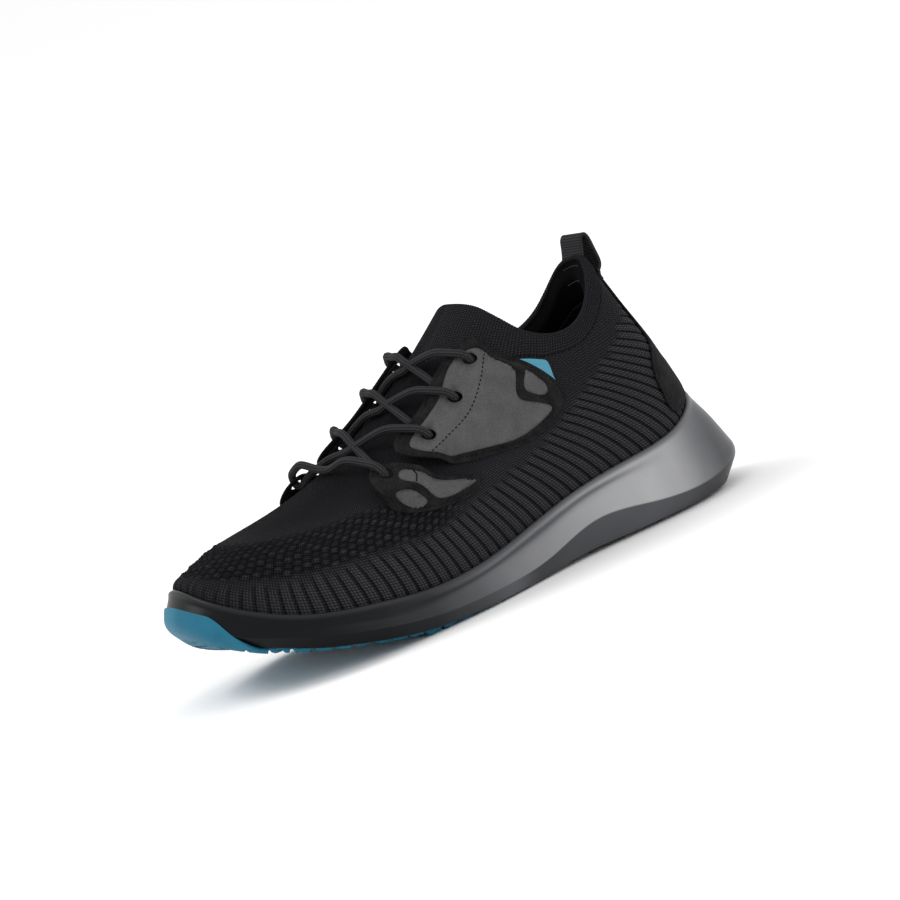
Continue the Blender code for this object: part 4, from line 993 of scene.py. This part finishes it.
def build_pull_tab(webbing, thread):
    """One strip of ribbed webbing: inside the collar, up round the loop and down outside."""
    across = np.linspace(-1, 1, 15)
    half = WEBBING_WIDTH / 2
    inner_rows = np.linspace(5.3, 5.93, 40)
    outer_rows = np.linspace(5.12, 4.8, 26)

    def leg(rows, offset, spread):
        s, r = np.meshgrid(across * spread, rows, indexing="xy")
        return layer(s, r, offset(s, r))

    def behind_lining(s, r):
        return lining_face(s, r) + 1.75 - 0.35 * smoothstep(5.6, 5.9, r)

    def under_cover(s, r):
        return 0.85 + 1.1 * smoothstep(4.95, 5.15, r)

    inner = leg(inner_rows, behind_lining, 0.66)
    outer = leg(outer_rows, under_cover, 0.6)
    start = inner[-1].mean(0)
    end = outer[0].mean(0)
    knots = [(start[1], start[2]), (111.3, 121.4), (112.0, 124.5), (113.5, 126.3), (115.3, 125.6),
             (116.5, 122.6), (117.4, 117.5), (118.1, 112.0), (end[1], end[2])]
    arch = smooth_line(knots, 170)[1:-1]
    loop = np.array([[(x * half, y, z) for x in across] for y, z in arch])
    centre = np.concatenate([inner, loop, outer])
    for _ in range(12):
        centre[1:-1] = centre[1:-1] * 0.5 + (centre[:-2] + centre[2:]) * 0.25
    along = np.gradient(centre, axis=0)
    side = np.gradient(centre, axis=1)
    normal = np.cross(side, along)
    normal /= np.linalg.norm(normal, axis=-1, keepdims=True)
    middle = centre[:, len(across) // 2]
    travel = length_along(middle)
    ribs = waves(travel, 1.15, 1.2)[:, None] * np.ones(len(across))
    thick = (WEBBING_THICK / 2 + 0.25 * (ribs - 1) * (np.abs(across) < 0.9))[..., None]
    # Painted shade in the webbing's rib grooves and painted highlight on the rib crests.
    tone = np.tile((0.04 + 0.42 * ribs).ravel(), 2)
    points, faces = strip_solid(centre + normal * thick, centre - normal * thick)
    piece = add_piece("pull_tab_webbing", points, faces, [webbing], None,
                      ("pull_tab_loop", "pull_tab_inner_leg", "pull_tab_outer_leg"), tone=tone)
    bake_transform(piece)
    runs = []
    for row in (5.22, 5.74):
        line = np.column_stack([np.linspace(-0.55, 0.55, 30), np.full(30, row)])
        runs.append(stitch_run(line, 2.4, lambda s, r: lining_face(s, r) - 0.1))
    points, faces = stitch_mesh(runs, 1.6, 0.4)
    add_piece("tab_stitching", points, faces, [thread], "shoe")


# Lace --------------------------------------------------------------------------------------------

def row_on_plane(s, origin, normal):
    """Row at which the skin at station s crosses a plane."""
    rows = np.linspace(2.5, 5.95, 139)
    height = (skin(np.full(len(rows), s), rows) - origin) @ normal
    order = 1 if height[-1] > height[0] else -1
    return float(np.interp(0.0, height[::order], rows[::order]))


def strand(start, end, heights):
    """Lace points between two eyelets in one plane; heights holds (share, height) pairs."""
    a = skin(*start)
    b = skin(*end)
    up = skin_normal(*start) + skin_normal(*end) + 2 * skin_normal(11.0, 4.7)
    normal = np.cross(b - a, up)
    normal /= np.linalg.norm(normal)
    line = []
    for share, height in heights:
        s = start[0] + (end[0] - start[0]) * share
        line.append(layer(s, row_on_plane(s, a, normal), height))
    return line


def lace_route():
    """Centre line of the lace from one tucked end to the other."""
    under = LACE_DIAMETER / 2 + GAP + 0.2
    over = LACE_DIAMETER / 2 + WING_LIFT + LACE_SEAT + WING_THICK + GAP - 0.1
    middle = (under + over) / 2
    crossing = under + LACE_DIAMETER + GAP
    lateral = [tuple(place) for place in EYELETS]
    medial = [(STATIONS - s, r) for s, r in EYELETS]
    rise = ((0.028, under), (0.08, under), (0.16, under), (0.3, under))
    fall = ((0.74, over - 1.6), (0.84, over), (0.92, over), (0.972, over))
    upper = (*rise, (0.42, crossing - 1.3), (0.5, crossing), (0.6, crossing + 0.6), *fall)
    lower = (*rise, (0.42, under + 0.1), (0.5, under + 0.2), (0.6, under + 1.3), *fall)
    bar = ((0.028, over), (0.08, over), (0.16, over), (0.26, over - 1.6), (0.4, under + 1.0),
           (0.5, under + 0.4), (0.6, under + 1.0), *fall)
    tail = ((-0.17, 5.24), (-0.4, 5.13), (-0.62, 4.98), (-0.72, 4.8), (-0.7, 4.64), (-0.62, 4.5))
    ends = (lateral, medial)
    half = []
    for near in (0, 1):
        line = []
        for k in range(3):
            start = ends[(near + k) % 2][k]
            end = ends[(near + k + 1) % 2][k + 1]
            heights = upper if (near + k) % 2 == 0 else lower
            line += [layer(*start, middle)] + strand(start, end, heights)
        last = ends[(near + 3) % 2][3]
        direction = 1 if last[0] < STATIONS / 2 else -1
        line += [layer(*last, middle)]
        line += [layer(last[0] + direction * ds, r, under) for ds, r in tail]
        half.append(line)
    across = strand(medial[0], lateral[0], bar)
    return np.array(half[1][::-1] + across + half[0])


def build_lace(shader):
    """Round lace of eight lengthwise cords of small picks, turning slowly along its length."""
    route = lace_route()
    fine = smooth_line(route, (len(route) - 1) * 12 + 1)
    steps = length_along(fine)
    aglet = 14.8
    where = np.arange(aglet, steps[-1] - aglet, 0.45)
    line = np.column_stack([np.interp(where, steps, fine[:, k]) for k in range(3)])
    way = np.gradient(line, axis=0)
    way /= np.linalg.norm(way, axis=1)[:, None]
    side = np.empty_like(line)
    side[0] = np.cross(way[0], (0.0, 0.0, 1.0))
    for i in range(1, len(line)):
        side[i] = side[i - 1] - way[i] * (side[i - 1] @ way[i])
        side[i] /= np.linalg.norm(side[i])
    side[0] /= np.linalg.norm(side[0])
    other = np.cross(way, side)
    sides = 32
    angle = np.arange(sides) * 2 * math.pi / sides
    turn = where[:, None] / 90.0 * 2 * math.pi
    cords = np.abs(np.cos(4 * angle[None] + turn))
    strand_of = np.floor((4 * angle[None] + turn) / math.pi + 0.5)
    picks = np.abs(np.sin(math.pi * (where[:, None] / 1.5 + 0.5 * (strand_of % 2))))
    weave = cords ** 0.6 * (0.7 + 0.3 * picks)
    radius = LACE_DIAMETER / 2 - 0.2 * (1 - weave)
    out = side[:, None] * np.cos(angle)[None, :, None] + other[:, None] * np.sin(angle)[None, :, None]
    points = line[:, None] + out * radius[..., None]
    faces = []
    for i in range(len(line) - 1):
        for j in range(sides):
            m = (j + 1) % sides
            a = i * sides
            b = a + sides
            faces.append((a + j, b + j, b + m, a + m))
    faces.append(tuple(range(sides)))
    faces.append(tuple(range((len(line) - 1) * sides, len(line) * sides))[::-1])
    # Painted highlight along the crests of the cords and painted shade between them.
    tone = 0.05 + 0.6 * weave ** 2
    add_piece("lace_braid", points.reshape(-1, 3), faces, [shader], "shoe", ("lace",),
              tone=tone.ravel())


# Sole --------------------------------------------------------------------------------------------

def under_foot(y):
    """Underside of the midsole, above the rubber, raised under the arch."""
    arch = 2.2 * smoothstep(-5, 20, y) * (1 - smoothstep(45, 66, y))
    return np.interp(y, ALONG, TREAD) + OUTSOLE_THICK + GAP + arch


def footbed(y):
    return np.interp(y, ALONG, FOOTBED)


def corner_cut(columns):
    """Columns with every corner between their first and last point rounded once."""
    first = columns[:, :-1] * 0.75 + columns[:, 1:] * 0.25
    second = columns[:, :-1] * 0.25 + columns[:, 1:] * 0.75
    paired = np.stack([first, second], 2).reshape(len(columns), -1, 3)
    return np.concatenate([columns[:, :1], paired[:, 1:-1], columns[:, -1:]], 1)


def sole_columns(stations, sculpted):
    """Face of the midsole from the lip, down the sidewall and across to the middle line."""
    stations = np.asarray(stations, float)
    lip = skin(stations, 1.0)
    edge = around(WALL, stations)
    middle = around(spine_columns(), stations)
    outward = edge[:, 0, :2] - middle
    outward /= np.linalg.norm(outward, axis=1)[:, None]
    flat = np.column_stack([outward, np.zeros(len(stations))])
    rows = []
    for out, up in ((0.7, 0.7), (2.3, 0.5), (2.9, -1.8)):
        rows.append(np.column_stack([lip[:, :2] + outward * out, lip[:, 2] + up]))
    bulge, crease, ground = edge[:, 0], edge[:, 1], edge[:, 2]
    if sculpted:
        away = from_heel(stations)
        scoop = 2.2 * smoothstep(2.8, 4.2, away) * (1 - smoothstep(5.2, 6.4, away))
        crease = crease + flat * (1.8 * (1 - smoothstep(0.5, 2.6, away)))[:, None]
        ground = ground + flat * (1.6 * (1 - smoothstep(0.8, 2.6, away)))[:, None]
        lateral = stations % STATIONS < 11
        waist = smoothstep(3.9, 4.9, away) * (1 - smoothstep(6.0, 6.8, away)) * lateral
        edge_drop = 1.4 * smoothstep(4.4, 5.4, away) * (1 - smoothstep(8.6, 9.4, away))
        ground[:, 2] = np.maximum(ground[:, 2] - edge_drop - 1.2 * waist, 0.35)
        soft = (0.1 + 0.3 * (1 - smoothstep(0.8, 2.6, away)))[:, None]
        shoulder = rows[-1] * 0.55 + bulge * 0.45
        rows.append(shoulder - flat * scoop[:, None])
        rows.append(bulge - flat * (0.25 * scoop)[:, None])
        rows.append(crease * (1 - soft) + bulge * soft)
        rows.append(crease)
        rows.append(crease * (0.98 - soft) + ground * (soft + 0.02))
        rows.append(ground * 0.86 + crease * 0.14)
    else:
        rows.extend([bulge, crease])
    rows.append(ground)
    for share in (0.08, 0.16, 0.4, 0.7, 1.0):
        plan = ground[:, :2] + (middle - ground[:, :2]) * share
        height = under_foot(plan[:, 1])
        if share == 0.08:
            height = np.minimum(height, ground[:, 2] + 0.4)
        rows.append(np.column_stack([plan, height]))
    return np.stack(rows, 1)


def cap_middle(stations, height):
    middle = around(spine_columns(), stations)
    twin = around(spine_columns(), STATIONS - np.asarray(stations))
    middle = (middle + twin) / 2
    return np.column_stack([middle, height(middle[:, 1])])


def sole_tone_and_shade(points, rows):
    """Lightness of the foam with painted light: grey at the heel with a painted reflection, painted shade
    under the crease and in the scoop, and a painted highlight line along the lip.
    """
    face = np.interp(points[..., 1], *SOLE_TONE_AND_REFLECTION)
    lip = np.interp(points[..., 1], *LIP_HIGHLIGHT)
    lip_highlight_share = 1 - smoothstep(1.2, 2.2, rows)
    # Painted shade where the sidewall turns under below the crease, deeper towards the heel.
    under = 1 - smoothstep(5.9, 6.5, rows) * (0.3 + 0.46 * smoothstep(-12, 14, points[..., 1]))
    along = smoothstep(-75, -45, points[..., 1]) * (1 - smoothstep(55, 100, points[..., 1]))
    # Painted shade along the scoop in the sidewall.
    scoop_shade = np.exp(-((rows - 3.0) / 0.55) ** 2) * along
    return face * under * (1 - 0.6 * scoop_shade) * (1 - lip_highlight_share) + lip * lip_highlight_share


def build_midsole(foam):
    columns = 440
    stations = np.arange(columns) * STATIONS / columns
    outer = sole_columns(stations, True)
    rows = np.broadcast_to(np.arange(outer.shape[1], dtype=float)[None, :, None], outer.shape)
    for _ in range(3):
        outer = corner_cut(outer)
        rows = corner_cut(rows)
    inner = [layer(stations, np.full(columns, row), np.full(columns, 0.1)) for row in (0.0, 0.4, 0.8, 1.0)]
    floor = inner[0].copy()
    floor[:, 2] = footbed(floor[:, 1])
    cap = cap_middle(stations, footbed)
    grid = np.concatenate([np.stack([cap, floor, *inner], 1), outer], 1)
    level = np.concatenate([np.zeros((columns, 6)), rows[..., 0]], 1)
    count = grid.shape[1]
    add_piece("midsole_foam", grid.reshape(-1, 3), grid_faces(columns, count, closed=True), [foam], "shoe",
              ("midsole",), tone=sole_tone_and_shade(grid, level).ravel())


def columns_at(columns, where):
    """Smoothly interpolated points at fractional positions down each column."""
    by_row = np.moveaxis(columns, 1, 0)
    slopes = cubic_slopes(by_row, False)
    low = np.minimum(where.astype(int), columns.shape[1] - 2)
    k = np.arange(len(columns))[:, None]
    f = (where - low)[..., None]
    return hermite(by_row[low, k], by_row[low + 1, k], slopes[low, k], slopes[low + 1, k], f)


def build_forefoot_rubber(rubber):
    """Treaded rubber under the forefoot, turned up over the toe."""
    stations = np.linspace(6.0, 16.0, 361)
    base = corner_cut(sole_columns(stations, False))
    flap = smoothstep(9.25, 10.15, stations) * (1 - smoothstep(11.85, 12.75, stations))
    start = 10.7 + (5.0 - 10.7) * flap
    last = base.shape[1] - 1
    share = np.linspace(0, 1, 110)
    where = start[:, None] + (last - start[:, None]) * share[None]
    surface = columns_at(base, where)
    along = np.gradient(surface, axis=0)
    down = np.gradient(surface, axis=1)
    normal = np.cross(along, down)
    normal[:, -1] = (0.0, 0.0, -1.0)
    normal /= np.maximum(np.linalg.norm(normal, axis=-1, keepdims=True), 1e-9)
    facing_down = smoothstep(0.3, 0.8, -normal[..., 2])
    thick = (GAP + OUTSOLE_THICK) * (1 - 0.5 * flap[:, None]) - 0.9
    outer = surface + normal * (0.9 + thick * facing_down)[..., None]
    inner = surface + normal * 0.2
    outer[..., 2] = np.where(outer[..., 2] < 1.4, 0.0, outer[..., 2])
    x = outer[..., 0]
    y = outer[..., 1]
    cross_cut = np.abs(((y + 0.0035 * x * x) / 8.6) % 1 - 0.5) * 8.6 < 0.8
    long_cut = np.abs((x / 15.0 + 0.5) % 1 - 0.5) * 15.0 < 0.8
    groove = (cross_cut | long_cut) & (facing_down > 0.9)
    outer[..., 2] += np.where(groove, 1.5, 0.0)
    points, faces = strip_solid(outer, inner)
    add_piece("forefoot_rubber", points, [face[::-1] for face in faces], [rubber], "shoe",
              ("outsole_forefoot",))


def build_heel_rubber(rubber):
    """Horseshoe of rubber under the heel, cut into blocks."""
    stations = np.linspace(-4.0, 4.0, 241)
    ground = around(WALL, stations)[:, 2]
    middle = around(spine_columns(), stations)
    shares = np.linspace(0.24, 0.72, 40)
    plan = ground[:, None, :2] + (middle[:, None] - ground[:, None, :2]) * shares[None, :, None]
    groove = np.abs((stations / 0.42) % 1 - 0.5) * 0.42 < 0.045
    low = np.where(groove, 1.2, 0.0)[:, None] * np.ones((1, len(shares)))
    bottom = np.concatenate([plan, low[..., None]], 2)
    top = bottom.copy()
    top[..., 2] = OUTSOLE_THICK + 0.3
    points, faces = strip_solid(bottom, top)
    add_piece("heel_rubber", points, faces, [rubber], "shoe", ("outsole_heel",))


# Setting -----------------------------------------------------------------------------------------

def add_camera():
    azimuth = math.radians(AZIMUTH)
    elevation = math.radians(ELEVATION)
    roll = math.radians(ROLL)
    right = Vector((math.cos(azimuth), math.sin(azimuth), 0.0))
    up = Vector((-math.sin(azimuth) * math.sin(elevation), math.cos(azimuth) * math.sin(elevation),
                 math.cos(elevation)))
    back = Vector((math.sin(azimuth) * math.cos(elevation), -math.cos(azimuth) * math.cos(elevation),
                   math.sin(elevation)))
    image_right = right * math.cos(roll) - up * math.sin(roll)
    image_up = right * math.sin(roll) + up * math.cos(roll)
    target = Vector(-PLAN_CENTRE * MM) + image_right * AIM_RIGHT + image_up * AIM_UP
    data = bpy.data.cameras.new("camera")
    data.lens = CAMERA_LENS
    data.clip_end = 60.0
    camera = bpy.data.objects.new("camera", data)
    turn = Matrix((image_right, image_up, back)).transposed().to_4x4()
    camera.matrix_world = Matrix.Translation(target + back * CAMERA_DISTANCE) @ turn
    bpy.context.scene.collection.objects.link(camera)
    bpy.context.scene.camera = camera


def add_light(name, place, target, width, height, power):
    data = bpy.data.lights.new(name, "AREA")
    data.shape = "RECTANGLE"
    data.size = width
    data.size_y = height
    data.energy = power
    light = bpy.data.objects.new(name, data)
    light.location = place
    light.rotation_euler = (Vector(target) - Vector(place)).to_track_quat("-Z", "Y").to_euler()
    bpy.context.scene.collection.objects.link(light)


def add_floor():
    shader = Shader("floor", (0.95, 0.95, 0.95), 0.9, Specular_IOR_Level=0.0)
    count = 96
    points = [(0.0, 0.0, -0.0005)]
    points += [(12 * math.cos(a), 12 * math.sin(a), -0.0005) for a in np.arange(count) * 2 * math.pi / count]
    faces = [(0, 1 + k, 1 + (k + 1) % count) for k in range(count)]
    mesh = bpy.data.meshes.new("floor")
    mesh.from_pydata(points, [], faces)
    mesh.materials.append(shader.material)
    floor = bpy.data.objects.new("floor", mesh)
    bpy.context.scene.collection.objects.link(floor)


def add_setting():
    add_floor()
    world = bpy.data.worlds.new("studio")
    world.use_nodes = True
    background = world.node_tree.nodes["Background"]
    background.inputs["Color"].default_value = (1.0, 1.0, 1.0, 1.0)
    background.inputs["Strength"].default_value = 1.03
    bpy.context.scene.world = world
    bpy.context.scene.view_settings.view_transform = "Standard"
    add_light("key", (-0.9, -1.2, 2.1), (0, 0, 0), 1.2, 1.2, 22)
    add_light("side", (1.9, 1.0, 0.9), (0, 0.03, 0.04), 1.4, 0.9, 6)


add_camera()
add_setting()

KNIT_CLOTH = knit_shader("knit", RIB_PITCH / 4, 1.25)
CUFF_CLOTH = knit_shader("cuff_knit", 1.35, 1.3)
LINING_CLOTH = lining_shader()
SUEDE = suede_shader()
FILM = film_shader("reflective_film", (0.05, 0.05, 0.052), (0.102, 0.102, 0.104))
PALE_FILM = film_shader("pale_film", (0.58, 0.59, 0.6), (0.68, 0.69, 0.7))
LACE = lace_shader("braided_lace")
WEBBING = lace_shader("ribbed_webbing")
FOAM = sole_shader()
BLUE = rubber_shader("blue_rubber", (0.010, 0.112, 0.18), (0.018, 0.146, 0.228))
BLACK = rubber_shader("black_rubber", (0.008, 0.008, 0.009), (0.018, 0.018, 0.019))
TEAL = plain_fabric("teal_fabric", (0.06, 0.225, 0.31), (0.078, 0.27, 0.365), 1.4, 0.0001, 0.6)
PATCH = plain_fabric("lining_patch", (0.006, 0.006, 0.007), (0.014, 0.014, 0.015), 1.0, 0.0001, 0.75)
THREAD = plain_fabric("thread", (0.0008, 0.0008, 0.001), (0.004, 0.004, 0.004), 3.0, 0.0001, 0.8)
GREY_THREAD = plain_fabric("grey_thread", (0.03, 0.03, 0.033), (0.06, 0.06, 0.065), 3.0, 0.0001, 0.8)
PADDING = plain_fabric("padding_foam", (0.16, 0.16, 0.17), (0.24, 0.24, 0.25), 0.8, 0.0003, 0.95)
BOARD = plain_fabric("stiffener_board", (0.3, 0.26, 0.2), (0.4, 0.35, 0.28), 0.9, 0.0001, 0.9)
STROBEL = plain_fabric("strobel_board", (0.44, 0.42, 0.36), (0.56, 0.54, 0.48), 0.8, 0.0002, 0.95)
INSOLE = plain_fabric("sockliner_cloth", (0.012, 0.012, 0.014), (0.03, 0.03, 0.034), 1.2, 0.0002, 0.9)
TIP = plain_fabric("aglet_plastic", (0.012, 0.012, 0.012), (0.024, 0.024, 0.024), 0.3, 0.00002, 0.3)

build_lace(LACE)
build_knit(KNIT_CLOTH)
build_cuff(CUFF_CLOTH)
build_lining(LINING_CLOTH)
for side in ("lateral", "medial"):
    build_wings(side, SUEDE, FILM, TEAL, THREAD)
build_heel(SUEDE, PALE_FILM, PATCH, THREAD)
build_pads(PADDING)
build_pull_tab(WEBBING, GREY_THREAD)
build_midsole(FOAM)
build_forefoot_rubber(BLUE)
build_heel_rubber(BLACK)
KEPT = {"heel_counter": BOARD, "toe_puff": BOARD,
        "strobel_board": STROBEL, "sockliner": INSOLE, "aglet_lateral": TIP, "aglet_medial": TIP}
for node, finish in KEPT.items():
    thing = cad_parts[node]
    for slot in thing.material_slots:
        slot.material = finish
